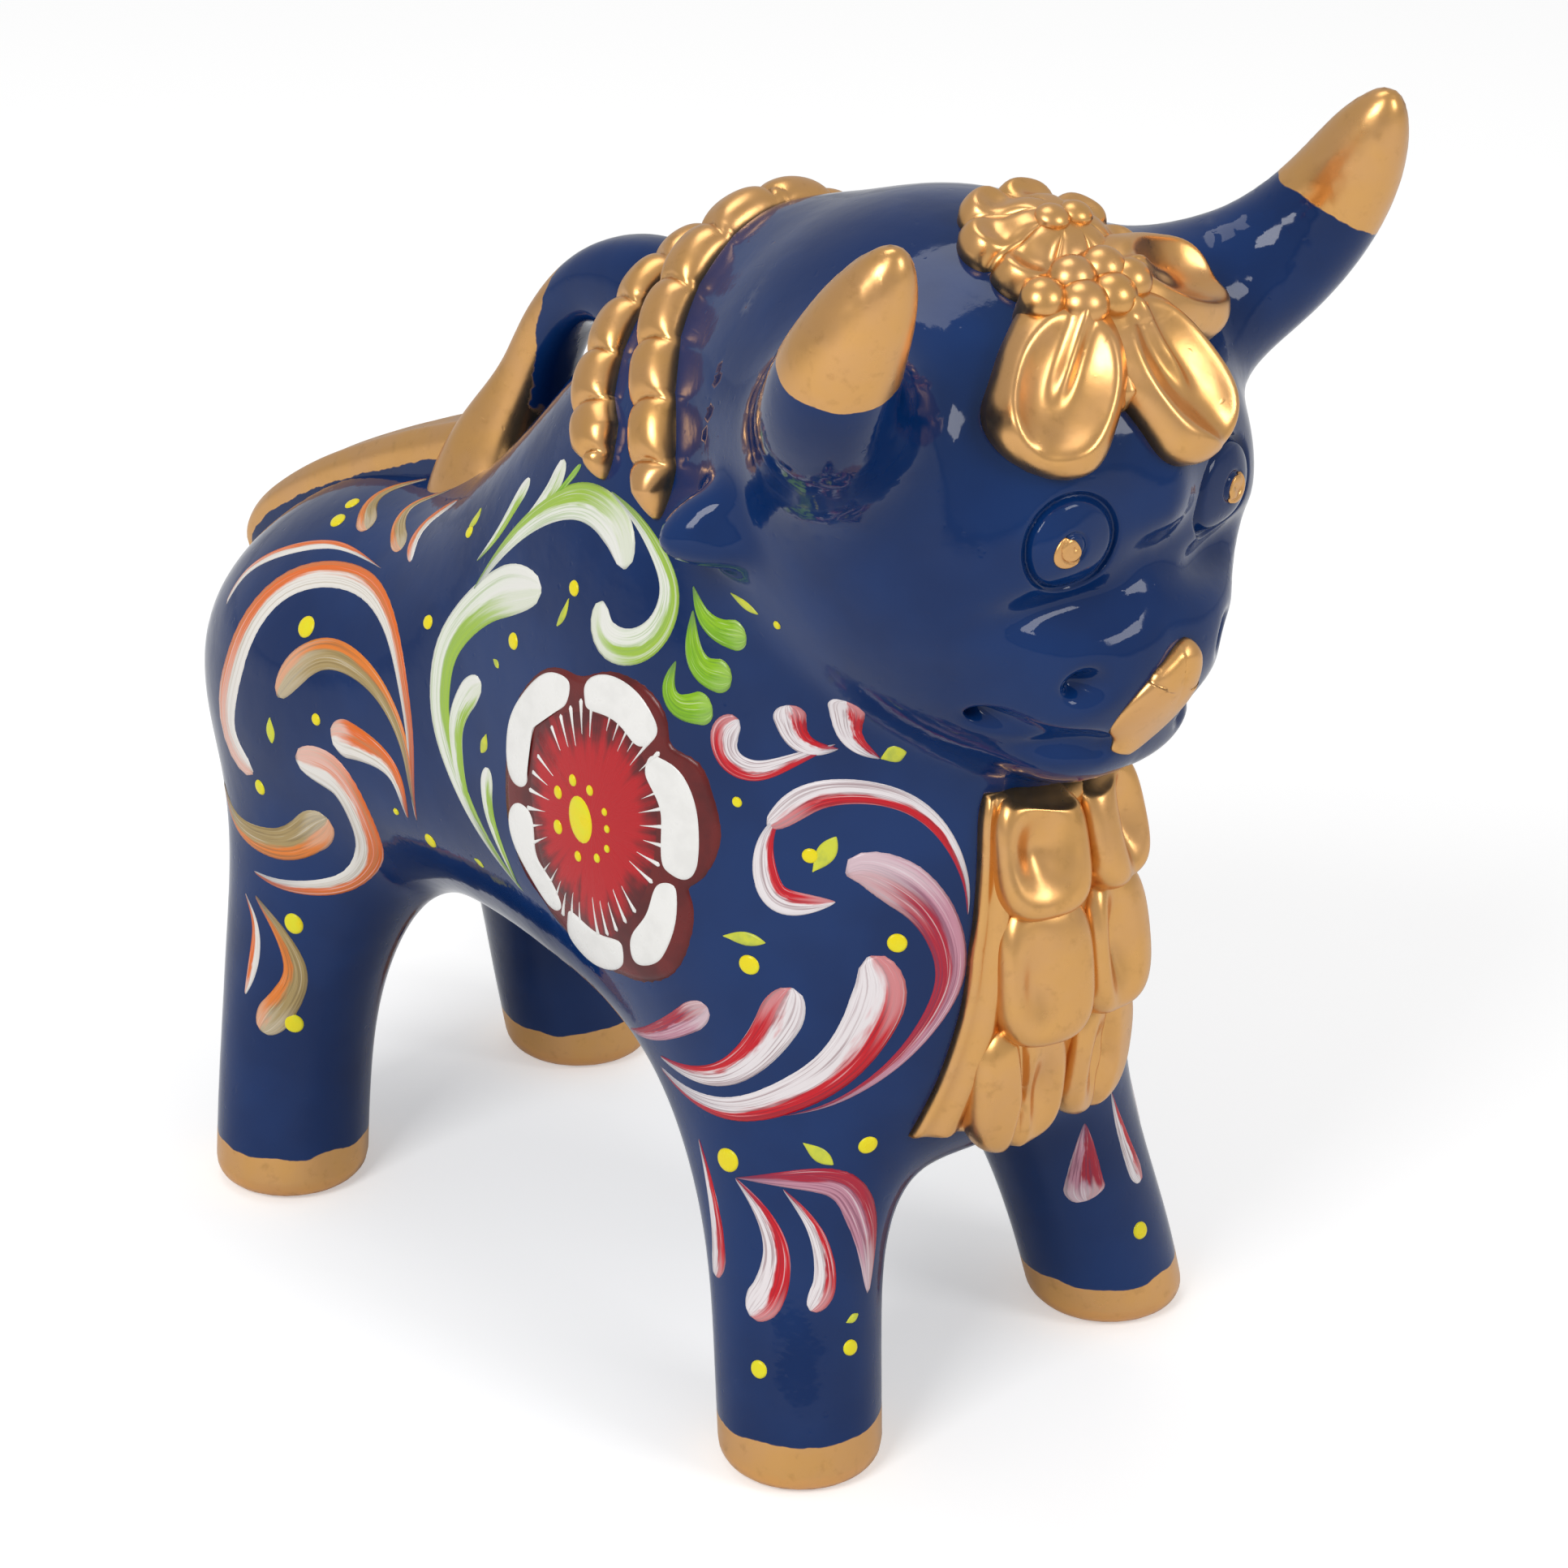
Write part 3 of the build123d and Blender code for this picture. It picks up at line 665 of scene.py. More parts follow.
def make_piece(
    name: str,
    points: Array,
    faces: Array,
    materials: list[bpy.types.Material],
    places: Array | None = None,
    marks: Array | None = None,
    normals: Array | None = None,
) -> bpy.types.Object:
    """Make one piece from arrays in millimetres and let it ride on the bull's one body.

    Args:
        name: the piece's name.
        points: n by 3.
        faces: m by 3 or 4.
        materials: its materials, the first one used all over.
        places: n by 2, kept as the UV map.
        marks: n, kept as the attribute "mark".
        normals: n by 3, where the shape is known better than its facets say.
    """
    mesh = bpy.data.meshes.new(name)
    mesh.from_pydata((points * MM).tolist(), [], faces.tolist())
    if marks is not None:
        mesh.attributes.new("mark", "FLOAT", "POINT").data.foreach_set("value", marks.astype(np.float32))
    if places is not None:
        layer = mesh.uv_layers.new(name="place")
        corners = np.empty(len(mesh.loops), np.int32)
        mesh.loops.foreach_get("vertex_index", corners)
        layer.data.foreach_set("uv", places[corners].astype(np.float32).reshape(-1))
    mesh.polygons.foreach_set("use_smooth", np.ones(len(mesh.polygons), bool))
    for material in materials:
        mesh.materials.append(material)
    if normals is None:
        shape = bmesh.new()
        shape.from_mesh(mesh)
        bmesh.ops.remove_doubles(shape, verts=shape.verts, dist=1e-6)
        bmesh.ops.dissolve_degenerate(shape, edges=shape.edges, dist=1e-7)
        bmesh.ops.recalc_face_normals(shape, faces=shape.faces)
        shape.to_mesh(mesh)
        shape.free()
    else:
        mesh.normals_split_custom_set_from_vertices(normals.astype(np.float32))
    mesh.update()
    made = bpy.data.objects.new(name, mesh)
    bpy.context.scene.collection.objects.link(made)
    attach(made, "root")
    LOG.info("%s: %d faces", name, len(mesh.polygons))
    return made


@dataclass
class Layer:
    """Lays flat shapes onto the skin as closed, slightly raised relief."""

    skin: Skin
    sunk: float = 0.7

    def dome(
        self,
        bundle: Bundle,
        middle: Array,
        ahead: Array,
        outline: Callable[[Array], Array],
        height: Callable[[Array, Array], Array],
        rings: int = 14,
        spokes: int = 40,
        mark: float = 0.0,
    ) -> None:
        """Add a patch spread round a middle.

        Formula: a point at share s and turn a lies at radius s times outline(a) in the plane that
        touches the skin, is moved onto the skin and lifted by height(s, a); the underside goes
        back to the middle a little under the skin.

        Args:
            bundle: where the patch goes.
            middle: a point on the skin.
            ahead: the direction of turn nought.
            outline: radius for each turn.
            height: rise for each share and turn.
            rings: points from the middle to the rim.
            spokes: points round.
            mark: value of the attribute "mark".
        """
        normal = self.skin.normals(middle[None])[0]
        first = unit(ahead - (ahead @ normal) * normal)
        second = np.cross(normal, first)
        turns = np.linspace(0, 2 * np.pi, spokes, endpoint=False)
        shares = np.concatenate([np.linspace(0.0, 1.0, rings) ** 0.85, [0.96, 0.5, 0.0]])
        s, a = np.meshgrid(shares, turns, indexing="ij")
        radius = s * outline(a)
        flat = middle + radius[..., None] * (np.cos(a)[..., None] * first + np.sin(a)[..., None] * second)
        seat = self.skin.settle(flat, 4)
        lift = height(s, a)
        lift[rings:] = -self.sunk
        lift[rings - 1] = np.minimum(lift[rings - 1], 0.0) - 0.05
        points = seat + self.skin.normals(seat) * lift[..., None]
        places = np.stack([a / (2 * np.pi), s], 2)
        bundle.add(points, places, mark)

    def patch(
        self, bundle: Bundle, outline: Array, height: Callable[[Array], Array], rings: int = 12, spokes: int = 72
    ) -> None:
        """Add a patch inside a closed outline.

        Formula: the outline is a closed spline through its points; a point at share s lies that
        part of the way from the outline's middle to its edge, is moved onto the skin and lifted
        by height(s).

        Args:
            bundle: where the patch goes.
            outline: places round the patch, n by 3.
            height: rise for each share.
            rings: points from the middle to the rim.
            spokes: points round.
        """
        count = len(outline)
        knots = np.concatenate([outline[-3:], outline, outline[:4]])
        at = np.linspace(0, count, spokes, endpoint=False)
        edge = natural_spline(np.arange(-3.0, count + 4), knots, at)
        middle = outline.mean(0)
        shares = np.concatenate([np.linspace(0.0, 1.0, rings) ** 0.8, [0.96, 0.5, 0.0]])
        seat = self.skin.settle(middle + shares[:, None, None] * (edge - middle), 5)
        lift = np.broadcast_to(height(shares)[:, None], seat.shape[:2]).copy()
        lift[rings:] = -self.sunk
        lift[rings - 1] = -0.05
        points = seat + self.skin.normals(seat) * lift[..., None]
        turn = np.broadcast_to(at / count, lift.shape)
        bundle.add(points, np.stack([turn, np.broadcast_to(shares[:, None], lift.shape)], 2))

    def ribbon(
        self,
        bundle: Bundle,
        knots: Array,
        half_width: Callable[[Array], Array],
        height: Callable[[Array, Array], Array],
        steps: int = 40,
        columns: int = 9,
        mark: Callable[[Array, Array], Array] | float = 0.0,
        offset: float = 0.0,
    ) -> None:
        """Add a band along a path on the skin.

        Formula: the path is a spline through the knots, evened out by length and moved onto the
        skin; a point at t along and v across, -1 to 1, lies v times half_width(t) to the side of
        it, is moved onto the skin and lifted by height(t, v); the underside runs a little under
        the skin.

        Args:
            bundle: where the band goes.
            knots: places that the path passes, n by 3.
            half_width: half the width for each share of the length.
            height: rise for each share of the length and place across.
            steps: points along.
            columns: points across the top.
            mark: value of the attribute "mark", or a function of t and v.
            offset: whole number added to the place along, so that each band differs.
        """
        share = np.linspace(0, 1, len(knots))
        fine = natural_spline(share, knots, np.linspace(0, 1, 160))
        run = np.concatenate([[0], np.cumsum(np.linalg.norm(np.diff(fine, axis=0), axis=1))])
        t = np.linspace(0, 1, steps)
        middle = np.stack([np.interp(t * run[-1], run, fine[:, k]) for k in range(3)], 1)
        middle = self.skin.settle(middle, 3)
        normal = self.skin.normals(middle)
        side = unit(np.cross(normal, np.gradient(middle, axis=0)))
        v = np.concatenate([np.linspace(-1, 1, columns), [0.9, 0.0, -0.9]])
        along, across = np.meshgrid(t, v, indexing="ij")
        seat = middle[:, None] + side[:, None] * (across * half_width(along))[..., None]
        seat = self.skin.settle(seat, 3)
        lift = height(along, across)
        lift[:, columns:] = -self.sunk
        lift[:, [0, columns - 1]] = np.minimum(lift[:, [0, columns - 1]], 0.0) - 0.04
        ends = np.array([0, -1])
        seat[ends] = seat[ends].mean(1, keepdims=True)
        lift[ends] = -0.05
        points = seat + self.skin.normals(seat) * lift[..., None]
        values = mark(along, across) if callable(mark) else mark
        bundle.add(points, np.stack([along + offset, across], 2), values)


def comma(t: Array) -> Array:
    """Return the width share of a comma stroke: a thin tail that swells to a round head."""
    swell = np.clip(t, 0, 1) ** 0.75
    head = np.sqrt(np.clip(1 - ((t - 0.84) / 0.16) ** 2, 0, 1))
    return np.where(t < 0.84, swell / 0.84**0.75, head)


def leaf(t: Array) -> Array:
    """Return the width share of a leaf: pointed at both ends."""
    return np.sin(np.pi * np.clip(t, 0, 1)) ** 0.9


def sweep(t: Array) -> Array:
    """Return the width share of a long stroke, thickest past its middle."""
    return np.sin(np.pi * np.clip(t, 0, 1) ** 1.35) ** 0.8


def round_end(t: Array) -> Array:
    """Return the width share of a dab: round at both ends."""
    return np.sqrt(np.clip(1 - (2 * t - 1) ** 2, 0, 1))


Colour = tuple[float, float, float]
Socket = bpy.types.NodeSocket


class Shader:
    """One material's node tree, built with short calls; it ends in one Principled shader."""

    def __init__(self, name: str) -> None:
        """Start the tree.

        Args:
            name: the material's name.
        """
        self.material = bpy.data.materials.new(name)
        self.material.use_nodes = True
        self.tree = self.material.node_tree
        self.tree.nodes.clear()
        self.surface = self.tree.nodes.new("ShaderNodeBsdfPrincipled")
        end = self.tree.nodes.new("ShaderNodeOutputMaterial")
        self.tree.links.new(self.surface.outputs[0], end.inputs[0])
        self.places = self.node("ShaderNodeTexCoord", {}, "Object")

    def put(self, socket: Socket, value: Socket | float | Colour) -> None:
        """Link a value to a socket, or set it there.

        Args:
            socket: the input.
            value: another socket, a number or a colour.
        """
        if isinstance(value, bpy.types.NodeSocket):
            self.tree.links.new(value, socket)
        elif socket.type == "RGBA":
            socket.default_value = (*value, 1.0)
        else:
            socket.default_value = value

    def node(self, kind: str, inputs: dict, output: int | str = 0, **settings: object) -> Socket:
        """Add a node and return one of its outputs.

        Args:
            kind: the node's type.
            inputs: values by input.
            output: which output to return.
            settings: the node's own settings.

        Returns:
            The output.
        """
        made = self.tree.nodes.new(kind)
        for name, value in settings.items():
            setattr(made, name, value)
        for key, value in inputs.items():
            self.put(made.inputs[key], value)
        return made.outputs[output]

    def math(self, operation: str, *values: Socket | float) -> Socket:
        """Return a sum worked out on numbers."""
        return self.node("ShaderNodeMath", dict(enumerate(values)), operation=operation)

    def noise(self, scale: float, detail: float = 2.0, places: Socket | None = None) -> Socket:
        """Return soft noise, 0 to 1; scale is in waves for each unit of the places."""
        return self.node(
            "ShaderNodeTexNoise", {"Vector": places or self.places, "Scale": scale, "Detail": detail, "Roughness": 0.55}
        )

    def step(self, value: Socket, low: float, high: float) -> Socket:
        """Return a smooth step from 0 at low to 1 at high."""
        return self.node("ShaderNodeMapRange", {0: value, 1: low, 2: high}, interpolation_type="SMOOTHSTEP")

    def mix(self, share: Socket | float, first: Socket | Colour, second: Socket | Colour) -> Socket:
        """Return a mix of two colours."""
        return self.node("ShaderNodeMix", {0: share, 6: first, 7: second}, 2, data_type="RGBA")

    def blend(self, share: Socket | float, first: Socket | float, second: Socket | float) -> Socket:
        """Return a mix of two numbers."""
        return self.node("ShaderNodeMix", {0: share, 2: first, 3: second}, 0, data_type="FLOAT")

    def shift(self, value: Socket, noise: Socket, reach: float) -> Socket:
        """Return a value moved by noise, up to half the reach either way."""
        return self.math("ADD", value, self.math("MULTIPLY", self.math("SUBTRACT", noise, 0.5), reach))

    def relief(self, *coats: tuple[Socket, float]) -> Socket:
        """Return the normal over several coats of relief.

        Args:
            coats: pairs of a height, 0 to 1, and its depth in millimetres.

        Returns:
            The normal.
        """
        normal = None
        for height, depth in coats:
            inputs = {"Strength": 1.0, "Distance": depth * MM, "Height": height}
            if normal is not None:
                inputs["Normal"] = normal
            normal = self.node("ShaderNodeBump", inputs)
        return normal

    def finish(self, **values: Socket | float | Colour) -> bpy.types.Material:
        """Set the shader's own sockets, named with _ for a space, and return the material."""
        for name, value in values.items():
            self.put(self.surface.inputs[name.replace("_", " ")], value)
        return self.material


class GoldPlace(Enum):
    """Where gold lustre lies over the blue enamel."""

    TIPS = "the hooves and the horns' ends"
    MARKED = "wherever the attribute mark says so"


@dataclass(frozen=True)
class EnamelAndLustre:
    """Glossy dark blue enamel with satin gold lustre brushed over part of it."""

    place: GoldPlace
    deep: Colour = (0.0012, 0.0200, 0.100)
    pale: Colour = (0.0035, 0.0300, 0.135)
    gold: Colour = (0.74, 0.405, 0.14)
    rose: Colour = (0.72, 0.40, 0.165)
    brown: Colour = (0.38, 0.19, 0.055)
    hoof: float = 0.0077
    horn: tuple[float, float, float] = (0.3, -0.35, 0.88)
    horn_start: float = 0.2046

    def gold_share(self, shader: Shader) -> Socket:
        """Return 1 where the gold lies and 0 where the enamel shows, with a hand-painted edge."""
        edge = shader.noise(230.0, 3.0)
        if self.place is GoldPlace.MARKED:
            mark = shader.node("ShaderNodeAttribute", {}, "Fac", attribute_name="mark")
            return shader.step(shader.shift(mark, edge, 0.55), 0.46, 0.54)
        apart = shader.tree.nodes.new("ShaderNodeSeparateXYZ")
        shader.put(apart.inputs[0], shader.places)
        side, level = shader.math("ABSOLUTE", apart.outputs[0]), apart.outputs[2]
        wave = shader.noise(75.0, 2.0)
        hoof = shader.shift(shader.shift(level, wave, 0.004), edge, 0.0008)
        hoof = shader.step(hoof, self.hoof - 0.0001, self.hoof + 0.0001)
        parts = zip((side, apart.outputs[1], level), self.horn)
        tip = [shader.math("MULTIPLY", part, share) for part, share in parts]
        tip = shader.math("ADD", shader.math("ADD", tip[0], tip[1]), tip[2])
        tip = shader.shift(shader.shift(tip, wave, 0.003), edge, 0.001)
        tip = shader.step(tip, self.horn_start - 0.0001, self.horn_start + 0.0001)
        return shader.math("MAXIMUM", shader.math("SUBTRACT", 1.0, hoof), tip)

    def dress(self, name: str) -> bpy.types.Material:
        """Return the material.

        Args:
            name: the material's name.

        Returns:
            The material.
        """
        shader = Shader(name)
        gold = self.gold_share(shader)
        cloud, grain, lumps = shader.noise(38.0, 3.0), shader.noise(1500.0, 2.0), shader.noise(120.0, 3.0)
        blue = shader.mix(shader.step(cloud, 0.35, 0.7), self.deep, self.pale)
        lustre = shader.mix(shader.step(lumps, 0.3, 0.7), self.gold, self.rose)
        thin = shader.math("MULTIPLY", shader.step(shader.noise(420.0, 4.0), 0.54, 0.8), 0.3)
        lustre = shader.mix(thin, lustre, self.brown)
        smear = shader.noise(300.0, 4.0)
        matt = shader.blend(smear, 0.2, 0.42)
        gloss = shader.blend(shader.step(smear, 0.5, 0.8), 0.06, 0.16)
        pits = shader.step(shader.noise(620.0, 1.0), 0.68, 0.8)
        return shader.finish(
            Base_Color=shader.mix(gold, blue, lustre),
            Metallic=gold,
            Roughness=shader.blend(gold, gloss, matt),
            IOR=1.36,
            Normal=shader.relief((cloud, 0.35), (lumps, 0.1), (grain, 0.006), (pits, -0.02)),
        )


@dataclass(frozen=True)
class BrushPaint:
    """Thick paint, two or three colours taken up on one brush, so that a stroke is streaked along."""

    left: Colour
    right: Colour
    streak: Colour
    head: Colour
    border: float = 0.0
    streaks: float = 0.6
    dipped: float = 0.75

    def dress(self, name: str) -> bpy.types.Material:
        """Return the material; it reads the UV map, along and across the stroke.

        Args:
            name: the material's name.

        Returns:
            The material.
        """
        shader = Shader(name)
        apart = shader.tree.nodes.new("ShaderNodeSeparateXYZ")
        shader.put(apart.inputs[0], shader.node("ShaderNodeUVMap", {}, uv_map="place"))
        along, across = apart.outputs[0], apart.outputs[1]
        share = shader.math("FRACT", along)

        def lines(length: float, width: float) -> Socket:
            """Return noise drawn out along the stroke."""
            places = shader.node(
                "ShaderNodeCombineXYZ",
                {0: shader.math("MULTIPLY", along, length), 1: shader.math("MULTIPLY", across, width), 2: along},
            )
            return shader.noise(1.0, 3.0, places)

        sides = shader.step(shader.shift(across, lines(4.0, 1.6), 1.5), self.border - 0.16, self.border + 0.16)
        colour = shader.mix(sides, self.right, self.left)
        hairs = lines(1.6, 7.5)
        first = shader.math("MULTIPLY", shader.step(hairs, 0.5, 0.64), self.streaks)
        colour = shader.mix(first, colour, self.streak)
        white = shader.math("MULTIPLY", shader.step(shader.math("SUBTRACT", 1.0, hairs), 0.57, 0.68), self.streaks)
        colour = shader.mix(white, colour, self.head)
        rounded = shader.step(shader.shift(share, lines(2.0, 3.0), 0.5), 0.72, 0.92)
        colour = shader.mix(shader.math("MULTIPLY", rounded, self.dipped), colour, self.head)
        start = shader.math("SUBTRACT", 1.0, shader.step(shader.shift(share, lines(3.0, 6.0), 0.35), 0.0, 0.3))
        colour = shader.mix(shader.math("MULTIPLY", start, 0.45), colour, (0.02, 0.04, 0.12))
        return shader.finish(
            Base_Color=colour,
            Roughness=shader.blend(hairs, 0.16, 0.34),
            IOR=1.42,
            Normal=shader.relief((hairs, 0.07)),
        )


@dataclass(frozen=True)
class PlainPaint:
    """One colour laid on thick, thinner in places."""

    colour: Colour
    thin: Colour
    waves: float = 260.0
    rough: float = 0.22

    def dress(self, name: str) -> bpy.types.Material:
        """Return the material.

        Args:
            name: the material's name.

        Returns:
            The material.
        """
        shader = Shader(name)
        cover = shader.noise(self.waves, 3.0)
        return shader.finish(
            Base_Color=shader.mix(shader.step(cover, 0.38, 0.72), self.colour, self.thin),
            Roughness=shader.blend(cover, self.rough, self.rough + 0.12),
            IOR=1.42,
            Normal=shader.relief((cover, 0.05)),
        )


@dataclass(frozen=True)
class FlowerHeart:
    """The flower's middle: bright red drawn outwards over maroon in fine strokes."""

    bright: Colour = (0.50, 0.006, 0.012)
    dark: Colour = (0.10, 0.008, 0.010)

    def dress(self, name: str) -> bpy.types.Material:
        """Return the material; it reads the UV map, round and outwards from the middle.

        Args:
            name: the material's name.

        Returns:
            The material.
        """
        shader = Shader(name)
        apart = shader.tree.nodes.new("ShaderNodeSeparateXYZ")
        shader.put(apart.inputs[0], shader.node("ShaderNodeUVMap", {}, uv_map="place"))
        rays = shader.noise(
            1.0, 3.0, shader.node("ShaderNodeCombineXYZ", {0: shader.math("MULTIPLY", apart.outputs[0], 46.0), 1: apart.outputs[1]})
        )
        patches = shader.noise(170.0, 3.0)
        out = shader.step(shader.shift(shader.shift(apart.outputs[1], rays, 0.8), patches, 0.6), 0.6, 0.98)
        return shader.finish(
            Base_Color=shader.mix(out, self.bright, self.dark),
            Roughness=shader.blend(rays, 0.2, 0.36),
            IOR=1.42,
            Normal=shader.relief((rays, 0.05)),
        )


def plane_sweep(line: Array, half_width: Array, half_depth: Array, steps: int, columns: int, power: float) -> tuple:
    """Return a closed tube whose line lies in the mirror plane.

    Formula: the line is a spline through its points, evened out by length; at share t and turn a
    the section's point lies half_width(t) times the squared-off cosine of a across, and
    half_depth(t) times the squared-off sine of a outwards from the line.

    Args:
        line: places along and up, n by 2.
        half_width: half the width at each of those places.
        half_depth: half the depth at each of those places.
        steps: points along.
        columns: points round.
        power: how square the section is; 2 is an ellipse.

    Returns:
        Points, the share of the length, the place across and the place outwards, -1 to 1.
    """
    share = np.linspace(0, 1, len(line))
    data = np.column_stack([line, half_width, half_depth])
    fine = natural_spline(share, data, np.linspace(0, 1, 300))
    run = np.concatenate([[0], np.cumsum(np.linalg.norm(np.diff(fine[:, :2], axis=0), axis=1))])
    t = np.linspace(0, 1, steps)
    row = np.stack([np.interp(t * run[-1], run, fine[:, k]) for k in range(4)], 1)
    ahead = unit(np.gradient(row[:, :2], axis=0))
    turns = np.linspace(0, 2 * np.pi, columns, endpoint=False)
    cosine, sine = np.cos(turns), np.sin(turns)
    across = np.sign(cosine) * np.abs(cosine) ** (2 / power)
    out = np.sign(sine) * np.abs(sine) ** (2 / power)
    shrink = np.ones(steps)
    shrink[[0, -1]] = 0.0
    points = np.empty((steps, columns, 3))
    points[..., 0] = (row[:, 2] * shrink)[:, None] * across
    reach = (row[:, 3] * shrink)[:, None] * out
    points[..., 1] = row[:, 0, None] + reach * ahead[:, 1, None]
    points[..., 2] = row[:, 1, None] - reach * ahead[:, 0, None]
    return points, np.broadcast_to(t[:, None], reach.shape), np.broadcast_to(across, reach.shape), np.broadcast_to(
        out, reach.shape
    )


@dataclass
class Clay:
    """The hollow clay bull itself: trunk, head, legs, horns, ears and eyes under one skin."""

    skin: Skin

    def build(self, enamel: bpy.types.Material) -> bpy.types.Object:
        """Return the skin as one closed piece."""
        points, faces = self.skin.mesh()
        normals = self.skin.normals(points)
        return make_piece("clay_skin", points, faces, [enamel], normals=normals)


@dataclass
class Handle:
    """The strap from a broad foot on the back to the nape, gold behind and blue in front."""

    line: tuple = ((39.5, 113), (39.5, 120), (37.8, 129), (33.0, 139), (28.2, 148), (21.5, 155.6), (13, 159.0), (4, 157.0), (-2, 152))
    half_widths: tuple = (13.6, 12.6, 9.8, 7.0, 6.2, 6.0, 6.4, 7.4, 8.4)
    half_depths: tuple = (13.0, 11.4, 7.6, 4.9, 4.4, 5.0, 7.4, 11.5, 13.0)

    def build(self, lustre: bpy.types.Material) -> bpy.types.Object:
        """Return the strap."""
        points, t, across, out = plane_sweep(
            np.array(self.line), np.array(self.half_widths), np.array(self.half_depths), 90, 44, 2.5
        )
        border = np.interp(t, [0.0, 0.34, 0.48, 0.6, 0.7], [-1.4, -0.95, -0.6, 0.2, 1.4])
        mark = 0.5 + (out - border) * 1.2
        bundle = Bundle()
        bundle.add(points, np.stack([t, across], 2), np.clip(mark, 0, 1))
        return bundle.piece("handle_strap", [lustre], "gold_lustre")


@dataclass
class Tail:
    """The tail, laid along the back and over the rump: blue sides under a ridged gold crown."""

    crown: tuple = (
        (40, 131.6), (50.8, 127.6), (60, 123.8), (68.7, 119.8), (82, 113), (94.6, 104.8), (101.2, 98.6), (103.6, 93.6), (102.2, 89.5), (98, 87)
    )
    half_widths: tuple = (6.8, 6.9, 6.9, 6.8, 6.5, 5.9, 5.2, 4.5, 3.4, 1.6)
    half_depths: tuple = (6.5, 6.5, 6.3, 6.0, 5.4, 4.6, 4.0, 3.4, 2.8, 1.6)
    ridges: float = 0.42

    def build(self, lustre: bpy.types.Material) -> bpy.types.Object:
        """Return the tail; its line is the crown moved in by the depth."""
        crown, depth = np.array(self.crown, float)[::-1], np.array(self.half_depths)[::-1]
        ahead = unit(np.gradient(crown, axis=0))
        middle = crown - np.column_stack([ahead[:, 1], -ahead[:, 0]]) * depth[:, None]
        points, t, across, out = plane_sweep(middle, np.array(self.half_widths)[::-1], depth, 110, 64, 4.2)
        top = smooth_step(0.7, 0.95, out)
        lift = self.ridges * top * np.cos(across * 9.4) * np.sin(np.pi * np.clip(t, 0.02, 0.96)) ** 0.4
        points[..., 2] += lift
        mark = 0.5 + (out - 0.22) * 2.4
        bundle = Bundle()
        bundle.add(points, np.stack([t, across], 2), np.clip(mark, 0, 1))
        return bundle.piece("tail_strip", [lustre], "gold_lustre")


@dataclass
class NeckRopes:
    """Two cords over the neck, each pressed from a row of overlapping clay lobes."""

    front: tuple = ((0, -19.5, 176), (16.5, -20.5, 166), (27.5, -26.5, 155), (33.0, -30.6, 144.5), (33.4, -31.2, 142.5))
    rear: tuple = ((0, -6, 170), (20.5, -9, 156), (29.5, -14.5, 149), (32.6, -18, 144.6))
    half_width: float = 4.5
    height: float = 4.1
    lobe: float = 8.3

    def build(self, layer: Layer, lustre: bpy.types.Material) -> list[bpy.types.Object]:
        """Return the two cords.

        Formula: the height is that of a row of half-round lobes whose share of a lobe also grows
        across the cord, so that the creases run at a slant, and the sides fall off like a circle.
        """
        made = []
        for name, half in (("neck_cord_front", self.front), ("neck_cord_rear", self.rear)):
            near = np.array(half, float)
            knots = np.concatenate([(near * [-1, 1, 1])[::-1], near[1:]])
            length = np.linalg.norm(np.diff(knots, axis=0), axis=1).sum()
            count = round(length / self.lobe)

            def place(t: Array, v: Array) -> Array:
                """Return the share of a lobe, -1 to 1 from crease to crease."""
                side = np.sign(t - 0.5)
                return 2 * np.mod(t * count + 0.5 * (count % 2) - 0.16 * v * v * side, 1.0) - 1

            def height(t: Array, v: Array) -> Array:
                """Return the rise of the lobes."""
                bulge = np.sqrt(np.clip(1 - np.abs(place(t, v)) ** 2.4, 0, 1))
                ends = np.clip(np.minimum(t, 1 - t) * 26, 0, 1) ** 0.6
                return self.height * ends * (0.5 + 0.5 * bulge) * np.clip(1 - np.abs(v) ** 2.6, 0, 1) ** 0.55

            def width(t: Array) -> Array:
                """Return half the width: narrower at the creases, pointed at the ends."""
                point = np.clip(np.minimum(t, 1 - t) * 14, 0, 1) ** 0.7
                return self.half_width * point * (0.9 + 0.1 * np.sqrt(np.clip(1 - place(t, 0 * t) ** 2, 0, 1)))

            def mark(t: Array, v: Array) -> Array:
                """Return where the gold lies: all but a ragged front edge."""
                return np.clip(0.5 + (0.86 - v - 0.22 * np.abs(place(t, v)) ** 3) * 1.4, 0, 1)

            bundle = Bundle()
            layer.ribbon(bundle, knots, width, height, steps=330, columns=25, mark=mark)
            made.append(bundle.piece(name, [lustre], "gold_lustre"))
        return made


